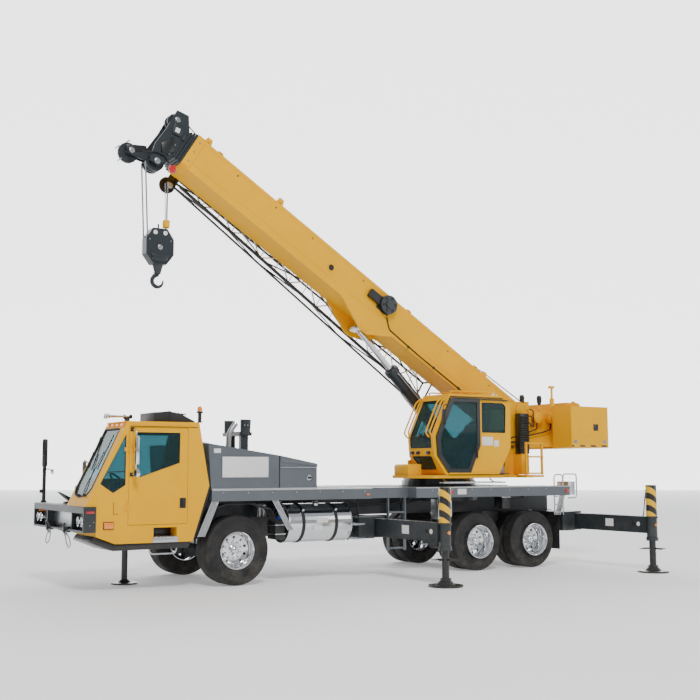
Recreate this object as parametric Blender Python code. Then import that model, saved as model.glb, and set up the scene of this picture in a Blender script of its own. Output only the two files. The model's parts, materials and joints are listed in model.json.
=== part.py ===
"""Three-axle truck crane with a four-section boom.

Built in metres: +X to the front, +Y to the left, +Z up, wheels and floats on z = 0.
All lengthwise places are measured from the front axle, and one empty shifts the whole
machine so that the middle of its length lies on x = 0.
"""
import math

import bmesh
import bpy
from mathutils import Matrix, Vector

# ---------------------------------------------------------------- driving dimensions
GAP = 0.0003            # between pieces that touch
RUN = 0.006             # running clearance between sliding or turning pieces

# carrier
BUMPER_X = 2.58         # front face of the bumper
WHEELBASE = 4.945       # front axle to the first rear axle
TANDEM = 1.322          # first to second rear axle
WIDTH = 2.58            # over the decks
DECK_Z = 1.53           # top of the decks
DECK_PLATE = 0.04
FASCIA_H = 0.18
RAIL_OUT = 0.34         # outer face of a frame rail from the middle
RAIL_T = 0.10
RAIL_BOTTOM = 1.04
RAIL_TOP = 1.34

# wheels
FRONT_R = 0.559
FRONT_W = 0.425
FRONT_OUT = 1.256       # outer face of a front tyre from the middle
REAR_R = 0.53
REAR_W = 0.28
REAR_OUT = 1.2135
DUAL_STEP = 0.33        # between the two tyres of a pair
RIM_R = 0.295
KINGPIN_Y = 0.80
KINGPIN_R = 0.024
SPINDLE_R = 0.042
WHEEL_SIDES = 24

# carrier cab
CAB_IN = 0.36           # right side wall from the middle
CAB_OUT = 1.27
CAB_WALL = 0.05
CAB_TOP = 2.60
CAB_BOTTOM = 0.735
DOOR_FRONT = 1.87
DOOR_REAR = 0.90
DOOR_BOTTOM = 1.015
DOOR_TOP = 2.50
DOOR_GAP = 0.006
HINGE_R = 0.014
HINGE_Z = (1.30, 2.20)
DOOR_HINGE = (DOOR_FRONT + HINGE_R, CAB_OUT + HINGE_R + 0.002)

# engine hood
HOOD_FRONT = 0.545
HOOD_REAR = -1.46
HOOD_RAKE = 0.055       # the front wall leans back by this much to its foot
HOOD_BREAK = -0.742     # where the hood meets its tool box
HOOD_TOP_FRONT = 2.273
HOOD_TOP_BREAK = 2.088
HOOD_TOP_REAR = 1.954
HOOD_WALL = 0.03

# outriggers
FRONT_JACK_X = -2.80    # axis of the front left jack
REAR_JACK_X = -7.495    # axis of the rear left jack
BEAM_PITCH = 0.33       # between the two beams of a pair
JACK_Y = 3.05           # extended
BEAM_W = 0.25
BEAM_H = 0.30
BEAM_Z = 0.85
BEAM_INNER = 0.66       # inner end of an extended beam from the middle
BOX_WALL = 0.025
BOX_OUT = 1.08          # open mouth of the outrigger box
BOX_END = 1.24          # closed end of the outrigger box
JACK_R = 0.095
JACK_TOP = 1.568
JACK_BOTTOM = 0.57
RAM_R = 0.06
FLOAT_R = 0.28
NOSE_JACK_X = 1.44
NOSE_RAM_R = 0.05

# superstructure
SLEW_X = -4.95
RING_R = 0.72
RING_TOP = 1.69
PLATE_T = 0.055         # base plate of the turntable
CHEEK_IN = 0.30         # inner face of a turntable cheek plate
CHEEK_T = 0.035
CRANE_CAB_IN = 0.38
CRANE_CAB_OUT = 1.17
CRANE_CAB_WALL = 0.045
SLIDE_DOOR_Z = 1.79     # lower edge of the sliding door, on its rail
TAIL_X = -8.33          # rear face of the counterweight
WEIGHT_FRONT = -7.33
WEIGHT_HALF = 1.20
WEIGHT_Z = (2.28, 3.10)

# boom, in its own frame: u along the boom, v square to it, both from the foot pin
FOOT_PIN = (-6.78, 3.05)
BOOM_ANGLE = 32.0
BOOM_HALF = 0.29
BOOM_TOP = 0.095
BOOM_BELLY = -0.545
BOOM_WALL = 0.022
BOOM_MOUTH = 8.47
SECTION_WALL = 0.018
COLLAR = 0.04           # thickness of a section's front collar
FOOT_PIN_R = 0.058
LIFT_PIN = (3.92, -0.73)
LIFT_PIN_R = 0.04
EAR_IN = 0.25            # the ears stand between here and the boom's side
LIFT_FOOT = (-5.54, 2.05)
BARREL_R = 0.12
BARREL_LEN = 2.42
ROD_R = 0.055
HEAD_HALF = 0.24
MAIN_SHEAVE = (8.80, -0.74)
NOSE_SHEAVE = (9.25, -0.885)
TOP_SHEAVE = (8.905, 0.113)
SHEAVE_R = 0.16
SHEAVE_STEP = 0.09      # between the main sheaves
ROPE_R = 0.012
HOOK_DROP = 1.14        # main sheave shaft down to the top of the hook block
HOOK_SHIFT = -0.12      # the block hangs behind the shaft

PI = math.pi

# ---------------------------------------------------------------- materials


def material(name, colour, rough=0.5, metal=0.0):
    """One Principled material, made once."""
    found = bpy.data.materials.get(name)
    if found:
        return found
    mat = bpy.data.materials.new(name)
    mat.use_nodes = True
    shader = mat.node_tree.nodes["Principled BSDF"]
    shader.inputs["Base Color"].default_value = (*colour, 1.0)
    shader.inputs["Roughness"].default_value = rough
    shader.inputs["Metallic"].default_value = metal
    mat.diffuse_color = (*colour, 1.0)
    return mat


def yellow():
    return material("crane_yellow", (0.90, 0.52, 0.02), 0.35)


def dark_grey():
    return material("frame_grey", (0.045, 0.055, 0.062), 0.45)


def mid_grey():
    return material("deck_grey", (0.13, 0.145, 0.16), 0.5)


def rubber():
    return material("tyre_rubber", (0.02, 0.02, 0.021), 0.85)


def polished():
    return material("polished_metal", (0.75, 0.76, 0.78), 0.22, 1.0)


def steel():
    return material("bare_steel", (0.55, 0.56, 0.58), 0.35, 1.0)


def cloth():
    return material("seat_cloth", (0.06, 0.065, 0.07), 0.8)


# ---------------------------------------------------------------- solids


def new_object(name, bm):
    """Turn a bmesh into an object with its faces pointing out."""
    bmesh.ops.recalc_face_normals(bm, faces=bm.faces)
    mesh = bpy.data.meshes.new(name)
    bm.to_mesh(mesh)
    bm.free()
    obj = bpy.data.objects.new(name, mesh)
    bpy.context.scene.collection.objects.link(obj)
    return obj


def box(x0, x1, y0, y1, z0, z1):
    """A block between two corners."""
    bm = bmesh.new()
    bmesh.ops.create_cube(bm, size=1.0)
    size = Vector((abs(x1 - x0), abs(y1 - y0), abs(z1 - z0)))
    middle = Vector((x0 + x1, y0 + y1, z0 + z1)) / 2
    bmesh.ops.scale(bm, vec=size, verts=bm.verts)
    bmesh.ops.translate(bm, vec=middle, verts=bm.verts)
    return new_object("solid", bm)


def prism(outline, axis, start, end):
    """Extrude a flat outline along an axis; outline points are the other two axes."""
    bm = bmesh.new()
    place = {
        "X": lambda a, b: Vector((start, a, b)),
        "Y": lambda a, b: Vector((a, start, b)),
        "Z": lambda a, b: Vector((a, b, start)),
    }[axis]
    step = {"X": Vector((1, 0, 0)), "Y": Vector((0, 1, 0)), "Z": Vector((0, 0, 1))}[axis] * (end - start)
    face = bm.faces.new([bm.verts.new(place(a, b)) for a, b in outline])
    grown = bmesh.ops.extrude_face_region(bm, geom=[face])
    moved = [item for item in grown["geom"] if isinstance(item, bmesh.types.BMVert)]
    bmesh.ops.translate(bm, vec=step, verts=moved)
    return new_object("solid", bm)


def turned(profile, centre, axis="Y", sides=32):
    """Turn a closed profile of (along, radius) points about an axis through centre."""
    bm = bmesh.new()
    rings = []
    for i in range(sides):
        angle = 2 * PI * i / sides
        rings.append([bm.verts.new((r * math.cos(angle), a, r * math.sin(angle))) for a, r in profile])
    count = len(profile)
    for i in range(sides):
        here, there = rings[i], rings[(i + 1) % sides]
        for k in range(count):
            bm.faces.new((here[k], here[(k + 1) % count], there[(k + 1) % count], there[k]))
    return stand(bm, centre, axis)


def lathe(profile, centre, axis="Z", sides=20):
    """Turn an open profile whose two ends lie on the axis."""
    bm = bmesh.new()
    rings = []
    for a, r in profile:
        if r == 0:
            rings.append([bm.verts.new((0, a, 0))])
            continue
        angles = [2 * PI * i / sides for i in range(sides)]
        rings.append([bm.verts.new((r * math.cos(t), a, r * math.sin(t))) for t in angles])
    for here, there in zip(rings, rings[1:]):
        for i in range(sides):
            k = (i + 1) % sides
            corners = [here[i % len(here)], here[k % len(here)], there[k % len(there)], there[i % len(there)]]
            bm.faces.new(list(dict.fromkeys(corners)))
    return stand(bm, centre, axis)


def swept(path, radii, across=Vector((0, 1, 0)), sides=10):
    """A round bar along a flat path, with a radius at each point."""
    bm = bmesh.new()
    rings = []
    for k, point in enumerate(path):
        run = (Vector(path[min(k + 1, len(path) - 1)]) - Vector(path[max(k - 1, 0)])).normalized()
        side = run.cross(across).normalized()
        angles = [2 * PI * i / sides for i in range(sides)]
        rings.append([bm.verts.new(Vector(point) + radii[k] * (side * math.cos(t) + across * math.sin(t)))
                      for t in angles])
    for here, there in zip(rings, rings[1:]):
        for i in range(sides):
            k = (i + 1) % sides
            bm.faces.new((here[i], here[k], there[k], there[i]))
    bm.faces.new(rings[0])
    bm.faces.new(rings[-1])
    return new_object("solid", bm)


def stand(bm, centre, axis):
    """Turn a bmesh made along Y to another axis and move it to its centre."""
    turn = {"X": Matrix.Rotation(-PI / 2, 3, "Z"), "Y": Matrix.Identity(3),
            "Z": Matrix.Rotation(PI / 2, 3, "X")}
    bmesh.ops.rotate(bm, cent=(0, 0, 0), matrix=turn[axis], verts=bm.verts)
    bmesh.ops.translate(bm, vec=Vector(centre), verts=bm.verts)
    return new_object("solid", bm)


def bar(start, end, radius, sides=12, radius_end=None):
    """A round bar between two points."""
    start, end = Vector(start), Vector(end)
    run = end - start
    bm = bmesh.new()
    last = radius if radius_end is None else radius_end
    bmesh.ops.create_cone(bm, cap_ends=True, segments=sides, radius1=radius, radius2=last, depth=run.length)
    turn = Vector((0, 0, 1)).rotation_difference(run).to_matrix()
    bmesh.ops.rotate(bm, cent=(0, 0, 0), matrix=turn, verts=bm.verts)
    bmesh.ops.translate(bm, vec=(start + end) / 2, verts=bm.verts)
    return new_object("solid", bm)


def disc(x, z, radius, y0, y1, sides=24):
    """A round plate standing across the machine."""
    return bar((x, y0, z), (x, y1, z), radius, sides)


def post(x, y, radius, z0, z1, sides=24):
    """An upright round bar."""
    return bar((x, y, z0), (x, y, z1), radius, sides)


def remade(obj):
    """Give an object the mesh that its modifiers make."""
    graph = bpy.context.evaluated_depsgraph_get()
    mesh = bpy.data.meshes.new_from_object(obj.evaluated_get(graph))
    old = obj.data
    obj.modifiers.clear()
    obj.data = mesh
    bpy.data.meshes.remove(old)


def boolean(base, tools, operation):
    """One exact Boolean with a group of tools, applied, with the tools removed."""
    group = bpy.data.collections.new("tools")
    for tool in tools:
        group.objects.link(tool)
    mod = base.modifiers.new("shape", "BOOLEAN")
    mod.operation = operation
    mod.operand_type = "COLLECTION"
    mod.collection = group
    mod.solver = "EXACT"
    bpy.context.view_layer.update()
    remade(base)
    for tool in tools:
        bpy.data.objects.remove(tool)
    bpy.data.collections.remove(group)


def solid(pieces, cuts=()):
    """Join overlapping pieces into one body and cut the openings."""
    base = pieces[0]
    if len(pieces) > 1:
        boolean(base, pieces[1:], "UNION")
    if cuts:
        boolean(base, cuts, "DIFFERENCE")
    return base


def empty(name, location, parent=None, turn=(0, 0, 0)):
    """A parent empty, placed in its parent's frame."""
    obj = bpy.data.objects.new(name, None)
    bpy.context.scene.collection.objects.link(obj)
    obj.parent = parent
    obj.location = location
    obj.rotation_euler = turn
    return obj


def node(name, body, mat, parent, origin=(0, 0, 0), smooth=False):
    """Name a finished body and put its origin on its joint or its place."""
    origin = Vector(origin)
    body.name = name
    body.data.name = name
    body.data.transform(Matrix.Translation(-origin))
    body.data.materials.clear()
    body.data.materials.append(mat)
    body.location = origin
    body.parent = parent
    if smooth:
        body.data.shade_smooth()
        body.data.set_sharp_from_angle(angle=math.radians(35))
    return body


def bore_for(shaft, flats):
    """Radius of a faceted bore that a round shaft turns in."""
    return (shaft + GAP) / math.cos(PI / flats)


def sides():
    """Left and right, with the sign of Y."""
    return (("left", 1), ("right", -1))


def arc(cx, cz, radius, start, end, steps):
    """Points on an arc, in degrees."""
    angles = [math.radians(start + (end - start) * i / steps) for i in range(steps + 1)]
    return [(cx + radius * math.cos(a), cz + radius * math.sin(a)) for a in angles]


# ---------------------------------------------------------------- carrier


def chassis_frame(root):
    """Two rails, cross members, the slew pedestal and the nose jack's housing."""
    front = BUMPER_X - 0.20
    rear = REAR_JACK_X + 0.06
    rails = [
        box(rear, front, s * (RAIL_OUT - RAIL_T), s * RAIL_OUT, RAIL_BOTTOM, RAIL_TOP) for s in (1, -1)
    ]
    low, high = RAIL_BOTTOM + 0.03, RAIL_TOP - 0.03
    inner = RAIL_OUT - RAIL_T / 2
    stations = (front - 0.05, 0.95, HOOD_REAR - 0.1, FRONT_JACK_X - 0.7, -WHEELBASE - TANDEM, rear + 0.05)
    ties = [box(x - 0.04, x + 0.04, -inner, inner, low, high) for x in stations]
    ties.append(box(SLEW_X - RING_R - 0.1, SLEW_X + RING_R + 0.1, -inner, inner, low, high))
    pedestal = post(SLEW_X, 0, RING_R + 0.03, RAIL_TOP - 0.08, RING_TOP - 0.14, 32)
    jack_seat = box(NOSE_JACK_X - 0.06, NOSE_JACK_X + 0.06, -inner, inner, RAIL_TOP - 0.16, RAIL_TOP - 0.02)
    housing = post(NOSE_JACK_X, 0, 0.075, 0.62, RAIL_TOP, 24)
    bore = post(NOSE_JACK_X, 0, NOSE_RAM_R + GAP, 0.5, RAIL_TOP + 0.1, 24)
    body = solid([rails[0], *ties, rails[1], pedestal, jack_seat, housing], [bore])
    node("chassis_frame", body, dark_grey(), root)


def slew_ring(root):
    """The bearing ring that the superstructure turns on."""
    low = RING_TOP - 0.14 + GAP
    profile = [(low, 0.5), (RING_TOP, 0.5), (RING_TOP, RING_R - 0.03), (RING_TOP - 0.05, RING_R - 0.03),
               (RING_TOP - 0.05, RING_R), (low, RING_R)]
    body = turned(profile, (SLEW_X, 0, 0), "Z", 32)
    node("slew_ring", body, material("ring_black", (0.02, 0.022, 0.024), 0.5), root, (SLEW_X, 0, 0), True)


def outrigger_box(root, name, left_x):
    """A double box under the frame: one channel opens left, the other right."""
    right_x = left_x + BEAM_PITCH
    half_w = BEAM_W / 2 + RUN
    half_h = BEAM_H / 2 + RUN
    low, high = BEAM_Z - half_h - BOX_WALL, BEAM_Z + half_h + BOX_WALL
    rear, front = left_x - half_w - BOX_WALL, right_x + half_w + BOX_WALL
    middle = (left_x + right_x) / 2
    body = [
        box(rear, front, -BOX_OUT, BOX_OUT, low, high),
        box(middle, front, BOX_OUT - 0.05, BOX_END, low, high),
        box(rear, middle, -BOX_END, -BOX_OUT + 0.05, low, high),
    ]
    top = RAIL_BOTTOM - GAP
    for s in (1, -1):
        body.append(box(rear + 0.1, front - 0.1, s * (RAIL_OUT - RAIL_T), s * RAIL_OUT, high - 0.02, top))
    cuts = []
    for x, s in ((left_x, 1), (right_x, -1)):
        ends = sorted((s * (BOX_OUT + 0.3), -s * (BOX_END - BOX_WALL)))
        cuts.append(box(x - half_w, x + half_w, ends[0], ends[1], BEAM_Z - BEAM_H / 2 - GAP, BEAM_Z + half_h))
    node(name, solid(body, cuts), dark_grey(), root)


def deck_side(root, name, s, notch_front, notch_rear, end):
    """One side's deck: plate, folded fascia, gussets and, on the left, a ladder."""
    edge = WIDTH / 2
    back = BOX_OUT - 0.05
    inner = RAIL_OUT + GAP
    low = DECK_Z - FASCIA_H
    plate = DECK_Z - DECK_PLATE
    wall = 0.028
    front = HOOD_FRONT - 0.06
    pieces = [
        box(end, front, s * inner, s * back, plate, DECK_Z),
        box(notch_front, front, s * (back - 0.1), s * edge, plate, DECK_Z),
        box(end, notch_rear, s * (back - 0.1), s * edge, plate, DECK_Z),
        box(notch_front, front, s * (edge - wall), s * edge, low, DECK_Z - 0.001),
        box(end, notch_rear, s * (edge - wall), s * edge, low, DECK_Z - 0.001),
        box(notch_rear - 0.01, notch_front + 0.01, s * (back - wall), s * back, low, DECK_Z - 0.001),
    ]
    for x in (front - 0.03, notch_front + 0.02, notch_rear - 0.02, end + 0.03):
        pieces.append(box(x - 0.02, x + 0.02, s * (back - wall - 0.01), s * (edge - 0.005), low + 0.002,
                          plate + 0.01))
    for x in (front - 0.04, -1.15, -4.0, -6.8):
        pieces.append(box(x - 0.02, x + 0.02, s * inner, s * (back - 0.01), low + 0.004, plate + 0.01))
        pieces.append(box(x - 0.02, x + 0.02, s * inner, s * (inner + 0.06), RAIL_TOP - 0.05, plate + 0.005))
    ring = post(SLEW_X, 0, RING_R + 0.06, 1.2, 1.8, 32)
    if s > 0:
        pieces += ladder(notch_rear + 0.05, back, low)
    node(name, solid(pieces, [ring]), mid_grey(), root)


def ladder(x, y, top):
    """A three-rung ladder hung under the set-back deck."""
    bottom = 0.42
    wide = 0.36
    rails = [box(x + k, x + k + 0.025, y - 0.06, y, bottom, top + 0.05) for k in (0.0, wide)]
    rungs = [box(x, x + wide + 0.02, y - 0.055, y - 0.005, z, z + 0.03) for z in (bottom + 0.03, 0.76, 1.08)]
    return rails + rungs


def front_bumper(root):
    """A deep box bumper with an open lamp recess and two tow eyes."""
    half = 1.295
    rear = BUMPER_X - 0.195
    low, high = 0.915, 1.29
    wall = 0.03
    shell = box(rear, BUMPER_X, -half, half, low, high)
    recess = box(rear + wall, BUMPER_X + 0.05, -half + wall, half - wall, low + wall, high - 0.09)
    ribs = [box(rear + 0.01, BUMPER_X - 0.03, s * 0.62, s * 0.66, low + 0.01, high - 0.05) for s in (1, -1)]
    eyes = []
    for s in (1, -1):
        eyes.append(box(BUMPER_X - 0.08, BUMPER_X + 0.04, s * 0.42, s * 0.46, low - 0.03, low + 0.06))
    stay = [box(BUMPER_X - 0.20 + GAP, rear + 0.01, s * (RAIL_OUT - RAIL_T), s * RAIL_OUT, 1.06, 1.26)
            for s in (1, -1)]
    body = solid([solid([shell], [recess]), *ribs, *eyes, *stay])
    node("front_bumper", body, dark_grey(), root)


def cab_outline(wall=0.0):
    """Side view of the carrier cab, or of the room inside a wall of some thickness."""
    foot = BUMPER_X - 0.205 - wall
    low = CAB_BOTTOM + wall
    top = CAB_TOP - wall
    return [(1.90 - 0.6 * wall, top), (0.71 + wall, top), (0.524 + wall, 1.60), (0.80 + wall, low),
            (2.07, low), (foot, 0.85 + wall), (foot, 1.30 + wall), (2.545 - 1.1 * wall, 1.30 + wall)]


def carrier_cab(root):
    """The one-person cab shell with its window openings, door opening and step well."""
    wall = CAB_WALL
    shell = prism(cab_outline(), "Y", CAB_IN, CAB_OUT)
    floor_z = 0.98
    room = [(x, max(z, floor_z)) for x, z in cab_outline(wall)]
    del room[4]
    inside = prism(room, "Y", CAB_IN + wall, CAB_OUT - wall)
    door = box(DOOR_REAR - DOOR_GAP, DOOR_FRONT + DOOR_GAP, CAB_OUT - wall - 0.02, CAB_OUT + 0.1,
               DOOR_BOTTOM - DOOR_GAP, DOOR_TOP + DOOR_GAP)
    quarter = prism([(1.925, 2.40), (2.326, 1.64), (2.119, 1.50), (1.925, 1.62)], "Y", CAB_OUT - 0.1,
                    CAB_OUT + 0.1)
    far = prism([(1.80, 2.42), (2.25, 1.70), (1.0, 1.70), (0.86, 2.42)], "Y", CAB_IN - 0.1, CAB_IN + 0.1)
    rear = box(0.4, 0.80, 0.50, 1.13, 1.82, 2.42)
    step = box(1.07, 1.456, CAB_OUT - 0.22, CAB_OUT + 0.1, 0.82, 0.965)
    cuts = [inside, door, quarter, far, rear, windscreen_cut(), step]
    hinges = [post(DOOR_HINGE[0], DOOR_HINGE[1], HINGE_R, z - 0.07, z - GAP, 10) for z in HINGE_Z]
    plates = [box(DOOR_HINGE[0], DOOR_FRONT + 0.08, CAB_OUT - 0.004, CAB_OUT + 0.012, z - 0.065, z - 0.005)
              for z in HINGE_Z]
    feet = [box(x, x + 0.08, RAIL_OUT + GAP, CAB_IN + 0.01, 1.10, 1.25) for x in (1.0, 2.0)]
    body = solid([solid([shell], cuts), *hinges, *plates, *feet])
    node("carrier_cab", body, yellow(), root)


def windscreen_cut():
    """The slanted windscreen opening, pointed at its lower edge."""
    outline = [(1.077, 2.49), (0.41, 2.49), (0.42, 1.56), (0.52, 1.47), (0.77, 1.44), (1.05, 1.47),
               (1.142, 1.56)]
    return prism(outline, "X", 1.86, 2.75)


def carrier_door(root):
    """The front-hinged driver's door with its window opening."""
    wall = CAB_WALL
    panel = box(DOOR_REAR, DOOR_FRONT, CAB_OUT - wall, CAB_OUT, DOOR_BOTTOM, DOOR_TOP)
    window = prism([(1.766, 2.43), (1.032, 2.43), (1.037, 1.959), (1.742, 1.722)], "Y", CAB_OUT - 0.1,
                   CAB_OUT + 0.1)
    hinges = [post(DOOR_HINGE[0], DOOR_HINGE[1], HINGE_R, z, z + 0.06, 10) for z in HINGE_Z]
    straps = [box(DOOR_FRONT - 0.07, DOOR_HINGE[0], CAB_OUT + 0.002, CAB_OUT + 0.012, z + 0.005, z + 0.055)
              for z in HINGE_Z]
    pads = [box(DOOR_FRONT - 0.07, DOOR_FRONT - 0.02, CAB_OUT - 0.004, CAB_OUT + 0.006, z + 0.01, z + 0.05)
            for z in HINGE_Z]
    body = solid([solid([panel], [window]), *hinges, *straps, *pads])
    node("carrier_door", body, yellow(), root, (DOOR_HINGE[0], DOOR_HINGE[1], DOOR_BOTTOM))


def seat(root, name, x, y, floor_z, face=1):
    """A suspension seat: base, cushion, backrest and headrest in one soft outline."""
    pieces = [
        box(x - 0.16, x + 0.16, y - 0.17, y + 0.17, floor_z + GAP, floor_z + 0.26),
        box(x - 0.24, x + 0.24, y - 0.24, y + 0.24, floor_z + 0.24, floor_z + 0.40),
        prism([(x - 0.20 * face, floor_z + 0.36), (x - 0.32 * face, floor_z + 0.95),
               (x - 0.22 * face, floor_z + 0.97),
               (x - 0.08 * face, floor_z + 0.36)], "Y", y - 0.23, y + 0.23),
    ]
    node(name, solid(pieces), cloth(), root)


def steering_column(root):
    """Dashboard, column and steering wheel of the carrier cab."""
    dash = prism([(2.03, 0.98 + GAP), (2.28, 0.98 + GAP), (2.29, 1.40), (2.20, 1.55), (2.03, 1.50)], "Y",
                 CAB_IN + CAB_WALL + 0.01, CAB_OUT - CAB_WALL - 0.01)
    column = bar((2.10, 0.82, 1.42), (1.86, 0.82, 1.66), 0.035, 12)
    along = Vector((-0.24, 0, 0.24)).normalized()
    centre = Vector((1.86, 0.82, 1.66))
    wheel = torus(centre, along, 0.19, 0.016)
    spokes = []
    for k in range(3):
        angle = 2 * PI * k / 3 + PI / 2
        side = Vector((0, 1, 0)) * math.cos(angle) + along.cross(Vector((0, 1, 0))) * math.sin(angle)
        spokes.append(bar(centre - along * 0.02, centre + side * 0.19, 0.012, 4))
    node("steering_column", solid([dash, column, *spokes, wheel]),
         material("cab_trim", (0.05, 0.052, 0.055), 0.7), root)


def torus(centre, along, radius, thick, around=18, sides_n=6):
    """A ring about a direction."""
    bm = bmesh.new()
    rings = []
    for i in range(around):
        a = 2 * PI * i / around
        ring = []
        for k in range(sides_n):
            b = 2 * PI * k / sides_n
            r = radius + thick * math.cos(b)
            ring.append(bm.verts.new((r * math.cos(a), r * math.sin(a), thick * math.sin(b))))
        rings.append(ring)
    for i in range(around):
        here, there = rings[i], rings[(i + 1) % around]
        for k in range(sides_n):
            nxt = (k + 1) % sides_n
            bm.faces.new((here[k], there[k], there[nxt], here[nxt]))
    turn = Vector((0, 0, 1)).rotation_difference(along).to_matrix()
    bmesh.ops.rotate(bm, cent=(0, 0, 0), matrix=turn, verts=bm.verts)
    bmesh.ops.translate(bm, vec=centre, verts=bm.verts)
    return new_object("solid", bm)


def hood_outline(inset=0.0):
    """Side view of the hood: sloping lid, then the tool box behind it."""
    front, rear = HOOD_FRONT - inset, HOOD_REAR + inset
    base = DECK_Z + GAP - (0.1 if inset else 0.0)
    return [(front - HOOD_RAKE, base), (front, HOOD_TOP_FRONT - inset), (HOOD_BREAK, HOOD_TOP_BREAK - inset),
            (rear, HOOD_TOP_REAR - inset), (rear, base)]


def engine_hood(root):
    """The full-width hood shell behind the cab, open below."""
    half = CAB_OUT
    shell = prism(hood_outline(), "Y", -half, half)
    inside = prism(hood_outline(HOOD_WALL), "Y", -half + HOOD_WALL, half - HOOD_WALL)
    node("engine_hood", solid([shell], [inside]), mid_grey(), root)


def engine_block(root):
    """Engine and gearbox as one plain block between the rails."""
    inner = RAIL_OUT - RAIL_T - GAP
    node("engine_block", box(-1.30, 0.32, -inner, inner, 0.70, 1.86), material("engine", (0.09, 0.09, 0.09),
                                                                               0.6), root)


def hood_height(x):
    """Height of the hood's lid at a lengthwise place."""
    share = (x - HOOD_FRONT) / (HOOD_BREAK - HOOD_FRONT)
    return HOOD_TOP_FRONT + share * (HOOD_TOP_BREAK - HOOD_TOP_FRONT)


def boom_rest(root):
    """The cradle on the hood that carries the lowered boom."""
    x0, x1 = -0.70, -0.46
    saddle = FOOT_PIN[1] + BOOM_BELLY - 0.012
    half = BOOM_HALF + 0.015
    foot = [(x0, hood_height(x0) + GAP), (x1, hood_height(x1) + GAP), (x1, hood_height(x1) + 0.05),
            (x0, hood_height(x0) + 0.05)]
    pieces = [
        prism(foot, "Y", -half - 0.02, half + 0.02),
        box(x0 + 0.05, x1 - 0.05, -half + 0.01, -half + 0.09, 2.15, saddle - 0.02),
        box(x0 + 0.05, x1 - 0.05, half - 0.09, half - 0.01, 2.15, saddle - 0.02),
        box(x0, x1, -half - 0.03, half + 0.03, saddle - 0.06, saddle),
    ]
    for s in (1, -1):
        pieces.append(box(x0 + 0.03, x1 - 0.03, s * half, s * (half + 0.03), saddle - 0.05, saddle + 0.22))
    node("boom_rest", solid(pieces), dark_grey(), root)


def fuel_tank(root):
    """The round polished tank on its two brackets."""
    x0, x1 = -2.20, -0.98
    y, z, r = 0.875, 0.955, 0.325
    pieces = [bar((x0, y, z), (x1, y, z), r, 36)]
    for x in (x0 + 0.25, x1 - 0.25):
        pieces.append(box(x - 0.03, x + 0.03, RAIL_OUT + GAP, y, z + 0.13, z + 0.23))
        pieces.append(box(x - 0.03, x + 0.03, RAIL_OUT + GAP, RAIL_OUT + 0.06, RAIL_BOTTOM + 0.01,
                          RAIL_TOP - 0.04))
    node("fuel_tank", solid(pieces), polished(), root)


def hydraulic_tank(root):
    """The square oil tank on the right side."""
    x0, x1 = -2.15, -0.98
    pieces = [
        box(x0, x1, -1.20, -0.62, 0.66, 1.30),
        box(x0 + 0.2, x0 + 0.28, -0.65, -RAIL_OUT - GAP, RAIL_BOTTOM + 0.02, RAIL_TOP - 0.06),
        box(x1 - 0.28, x1 - 0.2, -0.65, -RAIL_OUT - GAP, RAIL_BOTTOM + 0.02, RAIL_TOP - 0.06),
    ]
    node("hydraulic_tank", solid(pieces), dark_grey(), root)


def front_cowl(root):
    """The low body beside the cab on the right, over the front frame."""
    half = CAB_OUT
    side = [(0.80, 0.80), (2.07, 0.80), (2.36, 0.90), (2.36, 1.28), (0.66, 1.28)]
    pieces = [prism(side, "Y", -half, -0.42)]
    pieces.append(box(0.9, 0.98, -0.43, -RAIL_OUT - GAP, 1.08, 1.24))
    pieces.append(box(2.2, 2.28, -0.43, -RAIL_OUT - GAP, 1.08, 1.24))
    room = box(0.95, 2.25, -half + 0.04, -0.46, 0.70, 1.24)
    node("front_cowl", solid(pieces, [room]), dark_grey(), root)


def front_axle(root):
    """Steering axle beam with its leaf springs and the kingpin bosses."""
    z = FRONT_R - 0.12
    pieces = [box(-0.06, 0.06, -KINGPIN_Y + 0.075, KINGPIN_Y - 0.075, z - 0.07, z + 0.055)]
    for s in (1, -1):
        y = s * (RAIL_OUT - RAIL_T / 2)
        pieces.append(spring_pack(0.0, y, z + 0.04))
        pieces.append(box(-0.05, 0.05, s * (KINGPIN_Y - 0.10), s * (KINGPIN_Y + 0.03), z - 0.06, z + 0.05))
        pieces.append(post(0, s * KINGPIN_Y, 0.052, z - 0.066, z + 0.054, 12))
        pieces.append(post(0, s * KINGPIN_Y, KINGPIN_R, z - 0.10, z + 0.14, 10))
    node("front_axle", solid(pieces), dark_grey(), root)


def spring_pack(x, y, z):
    """A bowed leaf spring with the hangers that meet the rail."""
    reach = 0.62
    top = RAIL_BOTTOM - GAP
    outline = [(x - reach, z + 0.16), (x, z), (x + reach, z + 0.16), (x + reach, z + 0.20), (x, z + 0.09),
               (x - reach, z + 0.20)]
    leaf = prism(outline, "Y", y - 0.045, y + 0.045)
    hangers = [box(x + k - 0.04, x + k + 0.04, y - 0.05, y + 0.05, z + 0.14, top) for k in (-reach, reach)]
    return solid([leaf, *hangers])


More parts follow.
